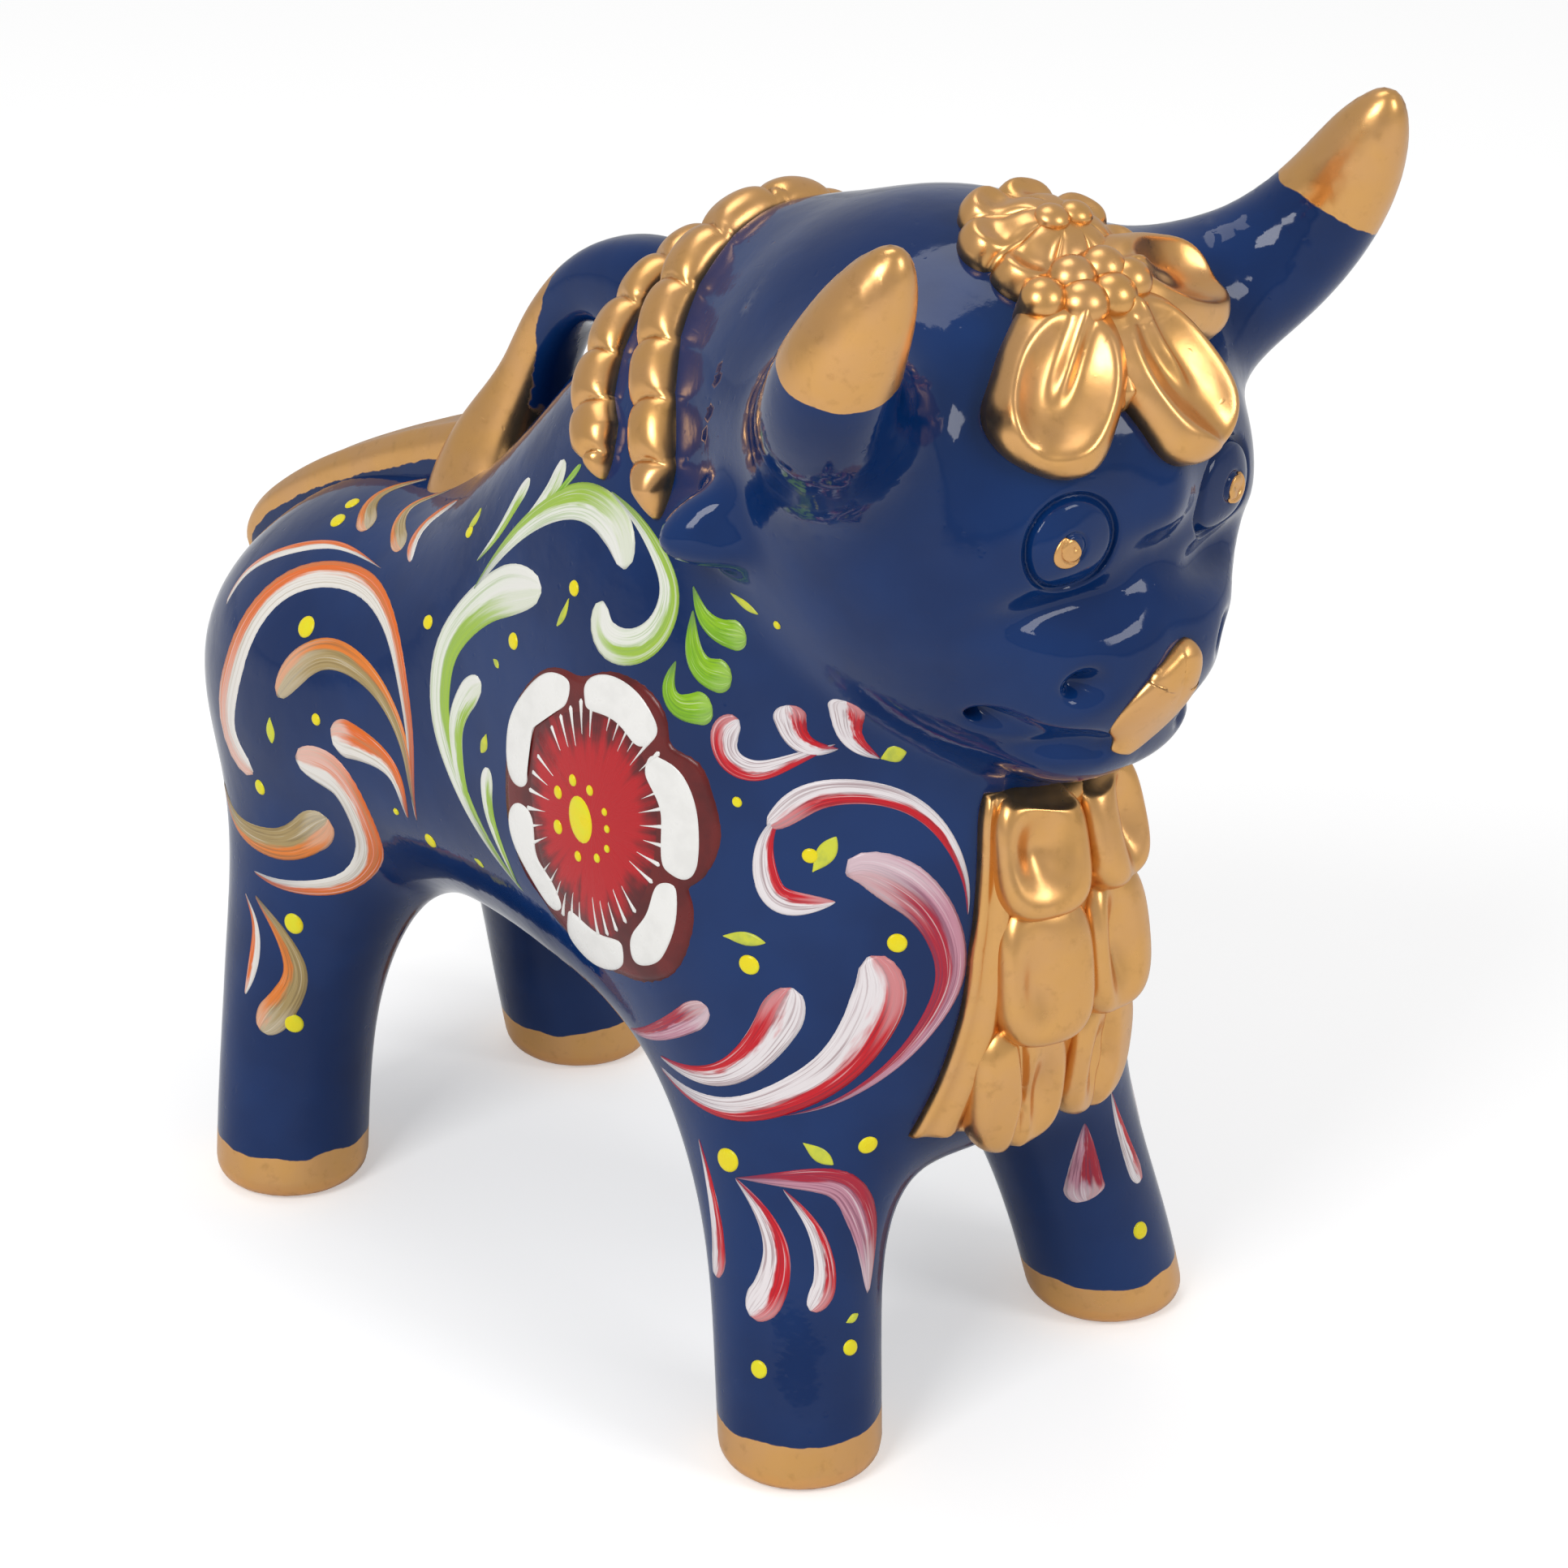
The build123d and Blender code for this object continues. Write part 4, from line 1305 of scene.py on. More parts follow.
@dataclass
class Brow:
    """The forehead's flower and ribbon, placed on a slanting plane over the brow."""

    skin: Skin
    start: tuple[float, float, float] = (0.0, -57.5, 150.7)
    up: tuple[float, float, float] = (0.0, 0.669, 0.743)
    out: tuple[float, float, float] = (0.0, -0.743, 0.669)

    flower: tuple[float, float] = (1.6, 15.2)
    radius: float = 14.4
    petals: int = 8
    knot: tuple[float, float] = (-2.5, 6.5)
    angles: tuple[float, float, float] = (226.0, 291.0, 352.0)
    lengths: tuple[float, float, float] = (27.0, 27.5, 29.0)
    widths: tuple[float, float, float] = (9.2, 9.4, 8.4)
    beads: tuple = ((-10.2, 5.6, 3.1), (-6.0, 3.0, 3.4), (-1.4, 2.6, 3.3), (2.8, 4.0, 3.1), (-4.8, 6.8, 3.2), (0.2, 6.6, 3.2))
    pleats: tuple[float, ...] = (251.0, 259.0, 267.0, 320.0, 330.0)

    def spots(self, u: Array, v: Array) -> Array:
        """Return the places on the skin over places on the plane."""
        flat = np.multiply.outer(u, [1.0, 0.0, 0.0]) + np.multiply.outer(v, self.up)
        high = np.array(self.start) + flat + 75 * np.array(self.out)
        return self.skin.cast(high, -np.array(self.out)[None], 80.0)

    def spot(self, u: float, v: float) -> Array:
        """Return the place on the skin over one place on the plane."""
        return self.spots(np.array([u]), np.array([v]))[0]

    def spokes(self, angle: float, begin: float, end: float, count: int = 6) -> Array:
        """Return places on the skin along a straight line out from the knot."""
        turn = np.radians(angle)
        reach = np.linspace(begin, end, count)
        return self.spots(self.knot[0] + reach * np.cos(turn), self.knot[1] + reach * np.sin(turn))

    def build_flower(self, layer: Layer, lustre: bpy.types.Material) -> bpy.types.Object:
        """Return the flower.

        Formula: each petal spans one period of the cosine of the turn; it has a rim near its end,
        a dish inside the rim, and a groove between it and the next.
        """
        bundle = Bundle()
        half = self.petals / 2

        def outline(a: Array) -> Array:
            """Return the radius: notched between petals."""
            return self.radius * (0.83 + 0.17 * np.abs(np.cos(half * a)) ** 0.55)

        def height(s: Array, a: Array) -> Array:
            """Return the rise."""
            petal = np.abs(np.cos(half * a))
            body = 5.0 * np.sqrt(np.clip(1 - s**2.6, 0, 1)) + 0.4
            rim = 0.9 * np.exp(-(((s - 0.84) / 0.11) ** 2)) * petal**0.5
            dish = -1.5 * np.exp(-(((s - 0.6) / 0.17) ** 2)) * petal**0.7
            groove = -1.9 * (1 - petal) ** 2 * smooth_step(0.25, 0.6, s) * np.clip(1.15 - s, 0, 1) ** 0.3
            return body + rim + dish + groove

        middle = self.spot(*self.flower)
        layer.dome(bundle, middle, np.array([0.92, 0.3, 0.25]), outline, height, rings=40, spokes=144, mark=1.0)
        for u, v, radius in ((-1.9, 0.2, 2.4), (1.9, -0.3, 2.3)):
            bead = self.spot(self.flower[0] + u, self.flower[1] + v)
            layer.dome(
                bundle,
                bead,
                np.array([1.0, 0, 0]),
                lambda a, r=radius: r + 0 * a,
                lambda s, a: 5.0 + 2.0 * np.sqrt(np.clip(1 - s**2, 0, 1)) - 4.0 * (s > 0.99),
                rings=14,
                spokes=32,
                mark=1.0,
            )
        return bundle.piece("brow_flower", [lustre], "gold_lustre")

    def build_ribbon(self, layer: Layer, lustre: bpy.types.Material) -> list[bpy.types.Object]:
        """Return the ribbon's three loops, the pleats between them and the bud of beads.

        Formula: a loop widens from the knot and ends round; it rises to a rim all round, with a
        hollow inside the rim and a ridge that runs out of the knot and fades in the hollow.
        """
        made = []
        names = ("ribbon_near_loop", "ribbon_front_loop", "ribbon_far_loop")
        for name, angle, length, wide in zip(names, self.angles, self.lengths, self.widths):

            def width(t: Array, wide: float = wide) -> Array:
                """Return half the width."""
                swell = 7.6 + (wide - 7.6) * smooth_step(0.0, 0.5, t)
                return swell * np.clip(1 - np.clip((t - 0.72) / 0.28, 0, 1) ** 2.4, 0, 1) ** 0.5

            def height(t: Array, v: Array) -> Array:
                """Return the rise."""
                end = np.clip(1 - np.clip((t - 0.78) / 0.22, 0, 1) ** 2.6, 0, 1) ** 0.5
                side = np.clip(1 - np.abs(v) ** 4, 0, 1) ** 0.5
                far = np.sqrt((v / 0.56) ** 2 + ((t - 0.58) / 0.3) ** 2)
                hollow = 3.4 * np.exp(-(far**3.0))
                ridge = 1.6 * np.exp(-((v / 0.13) ** 2)) * (1 - smooth_step(0.45, 0.72, t))
                lip = 0.7 * np.exp(-(((far - 1.25) / 0.22) ** 2))
                return (5.6 * (0.75 + 0.25 * smooth_step(0, 0.3, t)) - hollow + ridge + lip) * end * side

            bundle = Bundle()
            layer.ribbon(
                bundle, self.spokes(angle, 1.5, length), width, height, steps=90, columns=49, mark=1.0
            )
            made.append(bundle.piece(name, [lustre], "gold_lustre"))
        bundle = Bundle()
        for number, angle in enumerate(self.pleats):
            layer.ribbon(
                bundle,
                self.spokes(angle, 2.0, 19.5 - 1.5 * (number % 2)),
                lambda t: 0.9 + 1.25 * smooth_step(0, 0.8, t) - 1.6 * smooth_step(0.86, 1, t),
                lambda t, v: (4.4 - 0.8 * t) * np.clip(1 - v**2, 0, 1) ** 0.5 * (1 - 0.9 * smooth_step(0.88, 1.0, t)),
                steps=50,
                columns=15,
                mark=1.0,
            )
        made.append(bundle.piece("ribbon_pleats", [lustre], "gold_lustre"))
        bundle = Bundle()
        for u, v, radius in self.beads:
            layer.dome(
                bundle,
                self.spot(u, v),
                np.array([1.0, 0, 0]),
                lambda a, r=radius: r + 0 * a,
                lambda s, a, r=radius: 4.3 + r * 1.05 * np.sqrt(np.clip(1 - s**2, 0, 1)) - 4.0 * (s > 0.99),
                rings=18,
                spokes=36,
                mark=1.0,
            )
        made.append(bundle.piece("ribbon_beads", [lustre], "gold_lustre"))
        return made


@dataclass
class Face:
    """The small gold parts of the face: the tongue laid up over the muzzle, and the pupils."""

    tongue: tuple = ((-5.4, -94.2, 117.2), (-3.6, -96, 121.4), (-1.2, -97.3, 126), (1.0, -98.2, 130.5), (1.8, -98.4, 134.4))
    tongue_half: float = 6.6
    pupil: tuple[float, float, float] = (18.1, -96.0, 150.3)
    pupil_radius: float = 2.3

    def build(self, layer: Layer, lustre: bpy.types.Material) -> list[bpy.types.Object]:
        """Return the tongue and the pupils."""
        bundle = Bundle()
        layer.ribbon(
            bundle,
            np.array(self.tongue),
            lambda t: self.tongue_half * np.clip(np.sin(np.pi * np.clip(0.04 + 0.96 * t, 0, 1) ** 0.92), 0, 1) ** 0.62,
            lambda t, v: (0.5 + 1.7 * smooth_step(0, 0.7, t)) * np.clip(1 - v**2, 0, 1) ** 0.5 * np.clip((1 - t) * 9, 0, 1) ** 0.5,
            steps=60,
            columns=25,
            mark=1.0,
        )
        tongue = bundle.piece("tongue_lobe", [lustre], "gold_lustre")
        bundle = Bundle()
        for side in (-1.0, 1.0):
            middle = layer.skin.settle(np.array([[side * self.pupil[0], self.pupil[1], self.pupil[2]]]), 5)[0]
            layer.dome(
                bundle,
                middle,
                np.array([0, 0, 1.0]),
                lambda a: self.pupil_radius * (1 + 0.05 * np.sin(2 * a) + 0.04 * np.cos(3 * a)),
                lambda s, a: 0.1 + 0.32 * np.sqrt(np.clip(1 - s**2, 0, 1)) - 0.34 * np.exp(-(((s - 0.1) / 0.3) ** 2)),
                rings=20,
                spokes=40,
                mark=1.0,
            )
        return [tongue, bundle.piece("gold_pupils", [lustre], "gold_lustre")]


@dataclass(frozen=True)
class Fold:
    """One thumb-pressed fold of the frill."""

    across: float
    level: float
    half_width: float
    half_height: float
    rise: float
    dent: tuple[float, float, float, float, float]
    crease: float = 0.0


@dataclass
class Frill:
    """The pleated frill down the dewlap: a strip with two columns of folds pressed onto it."""

    line: tuple = ((0, -80, 107.2), (0, -81, 98), (0, -82, 86), (0, -82, 73), (0, -79, 61), (0, -74.5, 51.5))
    half_widths: tuple[float, ...] = (15.8, 16.8, 18.0, 19.4, 21.2, 23.4)
    folds: tuple[Fold, ...] = (
        Fold(-6.6, 98.4, 7.2, 10.2, 5.4, (-1.6, 0.5, 3.4, 5.6, 3.6)),
        Fold(-6.4, 80.0, 7.6, 11.6, 5.8, (-2.8, -1.0, 2.6, 7.0, 2.2)),
        Fold(-8.0, 61.2, 7.8, 11.0, 5.2, (2.6, -1.0, 2.0, 6.0, 2.6), 2.0),
        Fold(7.0, 98.6, 6.8, 10.2, 5.2, (1.0, 0.0, 2.0, 7.0, 3.4)),
        Fold(7.2, 80.2, 7.2, 11.4, 5.6, (-1.8, 0.5, 2.2, 7.5, 3.2)),
        Fold(8.0, 61.4, 7.6, 10.8, 5.0, (-2.4, 0.0, 2.0, 6.0, 2.6), 1.6),
    )

    def build(self, layer: Layer, lustre: bpy.types.Material) -> list[bpy.types.Object]:
        """Return the strip and its folds.

        Formula: the strip follows the dewlap; near its borders it has pleats, a cosine of the
        place across. A fold is a pillow with a steep rim and a dent, a two-way bell, and the
        lowest have a crease down the middle.
        """
        share = np.linspace(0, 1, len(self.half_widths))

        def pleats(t: Array, v: Array) -> Array:
            """Return the strip's rise."""
            waves = 0.55 * np.cos(v * 26 + 1.5 * t) * smooth_step(0.45, 0.7, np.abs(v)) * (1 - smooth_step(0.93, 1, np.abs(v)))
            ends = np.clip(np.minimum(t, 1 - t) * 30, 0, 1) ** 0.5
            return (2.5 + waves) * np.clip(1 - np.abs(v) ** 14, 0, 1) ** 0.5 * ends

        bundle = Bundle()
        layer.ribbon(
            bundle,
            np.array(self.line, float),
            lambda t: np.interp(t, share, self.half_widths) * np.clip(np.minimum(t, 1 - t) * 200 + 0.9, 0, 1),
            pleats,
            steps=110,
            columns=81,
            mark=1.0,
        )
        made = [bundle.piece("frill_band", [lustre], "gold_lustre")]
        for number, fold in enumerate(self.folds):
            middle = layer.skin.cast(np.array([[fold.across, -135.0, fold.level]]), np.array([[0.0, 1.0, 0.0]]), 70.0)[0]

            def outline(a: Array, fold: Fold = fold) -> Array:
                """Return the radius of a squarish oval."""
                up, side = np.abs(np.cos(a)) / fold.half_height, np.abs(np.sin(a)) / fold.half_width
                return (up**3.2 + side**3.2) ** (-1 / 3.2)

            def height(s: Array, a: Array, fold: Fold = fold) -> Array:
                """Return the rise."""
                radius = s * outline(a)
                up, side = radius * np.cos(a), -radius * np.sin(a)
                x, y, wide, tall, deep = fold.dent
                dent = deep * np.exp(-(((side - x) / wide) ** 2) - (((up - y) / tall) ** 2))
                crease = fold.crease * np.exp(-(((side + 0.12 * up) / 0.7) ** 2)) * smooth_step(-2.0, -6.0, -up - 6.0)
                crease = crease + fold.crease * np.exp(-(((side - 0.1 * up) / 0.8) ** 2)) * smooth_step(1.0, -4.0, up)
                return 1.0 + fold.rise * (1 - 0.032 * up) * np.clip(1 - s**6, 0, 1) ** 0.5 - dent - crease

            bundle = Bundle()
            layer.dome(bundle, middle, np.array([0, 0, 1.0]), outline, height, rings=40, spokes=96, mark=1.0)
            made.append(bundle.piece(f"frill_fold_piece_{number + 1}", [lustre], "gold_lustre"))
        return made


class Paint(Enum):
    """The brush paints of the scrolls."""

    LEAF_GREEN = "leaf_green_scrolls"
    LIME = "lime_leaves"
    ORANGE = "orange_scrolls"
    KHAKI = "khaki_scrolls"
    RED = "red_scrolls"
    ROSE = "rose_scrolls"


class Shape(Enum):
    """How a brush stroke swells along its length."""

    COMMA = "thin tail and round head"
    SWEEP = "thin at both ends"
    SWELL = "long thin tail and broad head"
    DAB = "round at both ends"

    def width(self, t: Array) -> Array:
        """Return the share of the greatest width at share t of the length."""
        if self is Shape.SWEEP:
            return sweep(t)
        if self is Shape.DAB:
            return round_end(t)
        return comma(t) if self is Shape.COMMA else comma(np.where(t < 0.84, 0.84 * (t / 0.84) ** 1.7, t))


@dataclass(frozen=True)
class Stroke:
    """One brush stroke: its paint, shape, half width and the places that it passes, tail first."""

    paint: Paint
    shape: Shape
    half: float
    places: tuple[tuple[float, float, float], ...]


FLANK_STROKES: tuple[Stroke, ...] = (
    Stroke(Paint.LEAF_GREEN, Shape.COMMA, 4.2, ((-38.7, -5.5, 76), (-38.9, 1.8, 81.3), (-38.4, 8.7, 88.2), (-37.4, 14, 96.3), (-36.2, 15.6, 103.5), (-34.9, 14.6, 110.2), (-34.2, 9, 117.2), (-34.9, 1, 122.6), (-36.3, -8.3, 125.7))),
    Stroke(Paint.LEAF_GREEN, Shape.COMMA, 2.5, ((-39, 2.2, 82.4), (-38.6, 7.5, 87.4), (-38, 10.1, 93.7), (-37.4, 10.5, 99.4), (-37.2, 7.8, 104.6), (-37.3, 4.8, 107.2))),
    Stroke(Paint.LEAF_GREEN, Shape.COMMA, 1.7, ((-38.8, -4, 77.1), (-39.4, -1.1, 82.4), (-39.3, 1.6, 87.6), (-39.1, 2.2, 92.2), (-39, 1.7, 94.7))),
    Stroke(Paint.LEAF_GREEN, Shape.COMMA, -3.5, ((-33.2, 11.2, 118.6), (-32.2, 5.5, 126.7), (-32, -1.6, 133.7), (-32.6, -9.3, 138.7), (-33.6, -16.8, 140.7), (-35.2, -23.6, 139), (-36.6, -26.6, 134.2))),
    Stroke(Paint.LEAF_GREEN, Shape.COMMA, -3.0, ((-33.1, -20, 143.7), (-34.6, -27.1, 141.6), (-35.7, -32.8, 137.9), (-36.5, -35.7, 133.5), (-37.8, -34.9, 128.3), (-38.8, -30.8, 124.4), (-38.9, -25.7, 123.6), (-38.4, -23.2, 125.8), (-37.7, -23, 128.9))),
    Stroke(Paint.LEAF_GREEN, Shape.COMMA, 1.6, ((-31.3, 12.2, 122.9), (-30.5, 7.9, 128.7), (-29.2, 5.3, 133.7), (-28.2, 3, 137.9))),
    Stroke(Paint.LEAF_GREEN, Shape.COMMA, 2.0, ((-31.8, 5.8, 127.3), (-31.7, -0.2, 133.2), (-30.9, -4.8, 139.3), (-29.4, -5.9, 143.8))),
    Stroke(Paint.LIME, Shape.COMMA, 0.6, ((-32, -1.6, 133.7), (-31.5, -7.6, 140.2), (-30.7, -11.1, 144.7))),
    Stroke(Paint.LIME, Shape.COMMA, 2.4, ((-35.7, -39.8, 135.5), (-36, -42.1, 131.8), (-35.5, -45.5, 130.1), (-34.7, -49.6, 130.3))),
    Stroke(Paint.LIME, Shape.COMMA, 2.6, ((-36.2, -40.3, 132.1), (-37, -41.1, 127), (-37.1, -43.6, 124), (-35.8, -47.8, 123.8))),
    Stroke(Paint.LIME, Shape.COMMA, 2.6, ((-38, -38.6, 124.3), (-38.9, -37.9, 120.2), (-38.8, -40.3, 117.9), (-37.4, -45.4, 119))),
    Stroke(Paint.ORANGE, Shape.COMMA, 3.6, ((-36.4, 21.8, 77.4), (-37.5, 21.6, 89.8), (-36.2, 24.4, 99.5), (-33.1, 30.5, 106.9), (-29.1, 40.3, 109.7), (-27.7, 51.5, 108.5), (-29.6, 60.8, 104.2), (-33, 65.7, 97.5), (-35.1, 68, 89.8), (-35.8, 69.7, 81), (-36.5, 66.7, 75.8), (-37.4, 60.8, 73.7))),
    Stroke(Paint.ORANGE, Shape.SWEEP, 1.1, ((-26.8, 39.9, 112.4), (-24, 51, 111.7), (-23.8, 59, 110.2), (-24.9, 67.1, 106.9), (-26.5, 74.1, 102), (-29.5, 76.4, 96.2))),
    Stroke(Paint.KHAKI, Shape.COMMA, 3.0, ((-37.1, 21.4, 80.3), (-37.5, 22.7, 89.4), (-36.7, 27.4, 95.9), (-35.5, 35, 99.3), (-34.9, 44.5, 99.1), (-36.2, 51, 94.6), (-37.3, 54.3, 89.3))),
    Stroke(Paint.ORANGE, Shape.COMMA, 3.3, ((-36.6, 23.9, 78), (-37.6, 25.2, 84.5), (-37.6, 30.3, 87.4), (-37.7, 37.2, 87.7), (-37.8, 40.6, 87.1))),
    Stroke(Paint.ORANGE, Shape.COMMA, 3.8, ((-37.6, 62.4, 56.4), (-37.2, 55.4, 56.1), (-34.4, 47.7, 57.3), (-32.1, 42.4, 60.5), (-33.3, 37.6, 67.3), (-36.3, 36.6, 74.9), (-37.8, 40.5, 80.4), (-38.2, 49.5, 80.6))),
    Stroke(Paint.KHAKI, Shape.COMMA, 3.7, ((-32.5, 75.5, 66.4), (-35.7, 68.6, 62.8), (-37.2, 59.3, 62.5), (-36.6, 51.9, 64.8), (-36.3, 44, 71.2))),
    Stroke(Paint.ORANGE, Shape.SWEEP, 1.2, ((-37.9, 64.2, 51.9), (-38.8, 60.9, 47.2), (-39.6, 61, 40.4), (-40.3, 62.4, 34.8))),
    Stroke(Paint.KHAKI, Shape.COMMA, 3.1, ((-38.1, 61.4, 52.5), (-38, 56.2, 48.2), (-37.1, 53.4, 42.7), (-37.7, 54.2, 36.9), (-40.4, 58.9, 29.4))),
    Stroke(Paint.KHAKI, Shape.COMMA, 2.0, ((-7.3, 51.3, 119), (-11.1, 55.9, 117), (-15.8, 55.8, 115.5), (-20.6, 50.7, 114.1))),
    Stroke(Paint.KHAKI, Shape.COMMA, 1.8, ((-12.3, 39.6, 121.9), (-14.8, 45.6, 118.5), (-19.7, 44.1, 116.6), (-24.5, 37.9, 115.6))),
    Stroke(Paint.ORANGE, Shape.DAB, 1.5, ((-19.1, 30.5, 124.3), (-19.7, 35.1, 120.7), (-23, 36, 117.7), (-26.9, 32.8, 115.7))),
    Stroke(Paint.RED, Shape.COMMA, 2.3, ((-29.1, -62, 116), (-33, -57.2, 113.1), (-35.7, -52.6, 110.9), (-37.2, -48.6, 112), (-37.1, -47.6, 115.5), (-36.1, -49.5, 118))),
    Stroke(Paint.RED, Shape.COMMA, -2.6, ((-28.9, -62.3, 115.3), (-31.1, -59.6, 115.2), (-32.4, -57.1, 117), (-32.6, -55.8, 121.2))),
    Stroke(Paint.RED, Shape.COMMA, -3.0, ((-25, -66.7, 114), (-26.9, -64.6, 115.8), (-28, -63.3, 118.8), (-28.9, -64.1, 123.8))),
    Stroke(Paint.RED, Shape.COMMA, 2.3, ((-16.4, -76.1, 89.4), (-16.5, -75.6, 95.1), (-18.6, -73.6, 102), (-22.5, -70.1, 107.1), (-27.4, -65.2, 109), (-31.8, -59.9, 107.9), (-34.5, -56.3, 104.5), (-35.6, -54.4, 102.8))),
    Stroke(Paint.RED, Shape.SWEEP, 2.2, ((-34.1, -56.8, 106.1), (-35.8, -54.6, 100.6), (-36.1, -54.9, 95), (-35, -57.7, 91.8), (-30.8, -63.8, 92.4))),
    Stroke(Paint.ROSE, Shape.SWELL, 3.8, ((-36.5, -58.3, 57.7), (-31.5, -64.7, 60.7), (-25.8, -70, 66.2), (-21.4, -73.5, 73.1), (-18.9, -75.2, 80.6), (-19.9, -74.1, 88.4), (-23.3, -71.1, 94.3), (-27.5, -66.9, 97.4), (-29.8, -64.4, 96.5))),
    Stroke(Paint.RED, Shape.COMMA, -4.3, ((-38.7, -34.7, 58), (-39.8, -41.7, 56.6), (-39.2, -50.9, 57.1), (-35.9, -59.2, 61.1), (-31.7, -64.9, 66.5), (-28.7, -68.3, 73.4), (-27.4, -69.4, 79.6), (-28.5, -68, 84.6))),
    Stroke(Paint.RED, Shape.COMMA, 3.5, ((-39.4, -35.5, 60.2), (-40.1, -42.6, 60.4), (-39.5, -50.2, 63), (-37.7, -56, 69.3), (-36.2, -59, 75.8), (-35.6, -59.8, 79))),
    Stroke(Paint.ROSE, Shape.COMMA, 2.4, ((-36.4, -25.9, 60), (-39.7, -33.8, 63.4), (-41, -41.5, 68.3), (-40.5, -47.2, 73))),
    Stroke(Paint.RED, Shape.COMMA, 2.0, ((-39.6, -44, 49.7), (-39.8, -46.2, 44.1), (-40.4, -48.3, 38.2), (-41, -49.5, 32.7), (-41.3, -49.2, 28.9))),
    Stroke(Paint.RED, Shape.COMMA, 3.0, ((-39.6, -51.8, 46.2), (-39, -56.2, 42.5), (-38.8, -59.5, 36.8), (-40.3, -59.6, 30.4), (-42.2, -57.4, 26.1))),
    Stroke(Paint.RED, Shape.COMMA, 2.0, ((-37, -59.2, 46.2), (-35.2, -62.5, 41.9), (-34.1, -64.5, 36.9), (-34.5, -65.4, 31.3), (-37, -64.9, 27.9))),
    Stroke(Paint.ROSE, Shape.SWEEP, 2.7, ((-39.6, -51.8, 46.2), (-37, -58.8, 47.6), (-32.3, -64.2, 47.5), (-28.9, -66.3, 43.8), (-26.8, -66.8, 36.1), (-27.3, -67.4, 27.9))),
)
LEG_STROKES: tuple[Stroke, ...] = (
    Stroke(Paint.ROSE, Shape.COMMA, 3.6, ((21.6, -66, 37.2), (22.2, -65.6, 31.7), (22.5, -65.5, 25.6), (22.8, -65.9, 23))),
    Stroke(Paint.RED, Shape.COMMA, 1.8, ((26.5, -66.9, 41.3), (29.2, -66.8, 33.8), (32, -67.7, 25.7), (32.8, -68, 23.3))),
)
DOTS: tuple[tuple[float, float, float, float], ...] = (
    (-33.3, 51.1, 101.2, 1.9), (-33.4, 21.4, 110.9, 1.2), (-37.1, -2.5, 116.1, 1.3), (-37, -16, 128.5, 1.2), (-19.3, 59.5, 112.9, 1.5), (-15.5, 60.4, 114.5, 1.3), (-27.9, 17.6, 125.2, 1.0), (-7.5, 45.7, 120.6, 0.9), (-37.3, 59.7, 71.9, 1.3), (-37.7, 44.2, 88.8, 1.0), (-36.7, 26.6, 78.4, 0.6), (-35.8, 19.7, 75.4, 1.3), (-36.9, 53.2, 49.7, 1.8), (-37.4, 53.7, 31.6, 1.7), (-34.6, -55.9, 134.1, 0.7), (-37.3, -50.2, 105.7, 0.8), (-32.6, -60.3, 99.1, 1.2), (-25.2, -70.6, 86.3, 1.5), (-38.4, -53.7, 81.4, 1.6), (-39.7, -50.3, 48.5, 2.0), (-27.4, -67.3, 52.9, 1.5), (-32.1, -68.6, 21.2, 1.3), (-43.3, -60.5, 18.7, 1.4), (31.2, -69.8, 16, 1.5),
)
DOT_LEAVES = (
    (1.2, ((-37.8, 55.7, 85.6), (-38, 55.6, 83.6), (-38.1, 55, 81.3))),
    (1.0, ((-25.9, 16.9, 128.8), (-26.8, 17.1, 127.4), (-27.2, 18.3, 125.6))),
    (0.6, ((-37, 2.2, 111.8), (-37.2, 1.4, 111.4), (-37.5, 0.6, 110.9))),
    (1.0, ((-38.5, 2.6, 99.9), (-38.6, 3.1, 98.1), (-38.6, 3.7, 96.4))),
    (0.7, ((-37.2, -15.2, 126.8), (-37.7, -14.5, 124.5), (-38, -13.2, 121.9))),
    (0.8, ((-35.3, -46.8, 136.4), (-35.1, -49.6, 135.3), (-34.9, -52.3, 134.6))),
    (1.5, ((-32.6, -60.7, 96.6), (-31.4, -62, 99.3), (-30.1, -63.1, 102.3))),
    (1.5, ((-25, -66.7, 114), (-23.7, -68.3, 114.8), (-22.5, -69.5, 115.3))),
    (1.1, ((-39.6, -49.4, 85), (-38.4, -52.7, 85.3), (-37, -55.8, 85.2))),
    (1.2, ((-34.8, -61.1, 53.8), (-33.2, -63, 51.9), (-31.7, -64.5, 50.2))),
    (0.7, ((-32.2, -67.7, 25.1), (-30.8, -67.9, 25.4), (-29.8, -67.8, 25.8))),
    (0.6, ((-37.2, 7.8, 77), (-37.2, 6.7, 76.6), (-37.2, 5.6, 76.2))),
)
FLOWER_EDGE = ((-38.8, -8.5, 113.3), (-39, -13.1, 116.3), (-39.4, -17.3, 117), (-39.7, -20.7, 117.4), (-39.6, -25.4, 119.6), (-39.5, -30.4, 120.3), (-39.3, -35.3, 119.1), (-39.4, -38.5, 115.6), (-39.6, -39.6, 112.2), (-38.8, -43.8, 111), (-38.4, -46.3, 107.9), (-38.2, -48.1, 103), (-38.5, -48.4, 98.2), (-39.6, -46, 92.8), (-40.4, -43.8, 90.7), (-40.5, -44.8, 88), (-41, -44.8, 83), (-41.4, -42.6, 77.6), (-41.6, -38.6, 73.9), (-41.3, -33.1, 71.8), (-40.8, -28.8, 71.2), (-39.8, -22.2, 70.4), (-39.6, -15.7, 72.7), (-39.6, -12.1, 74.9), (-39.6, -10.4, 76.8), (-39.8, -6.9, 79.7), (-40, -4.6, 83.9), (-39.9, -3, 88.1), (-39.6, -2.3, 94.2), (-39.2, -2.6, 101), (-38.9, -4.1, 107.3))
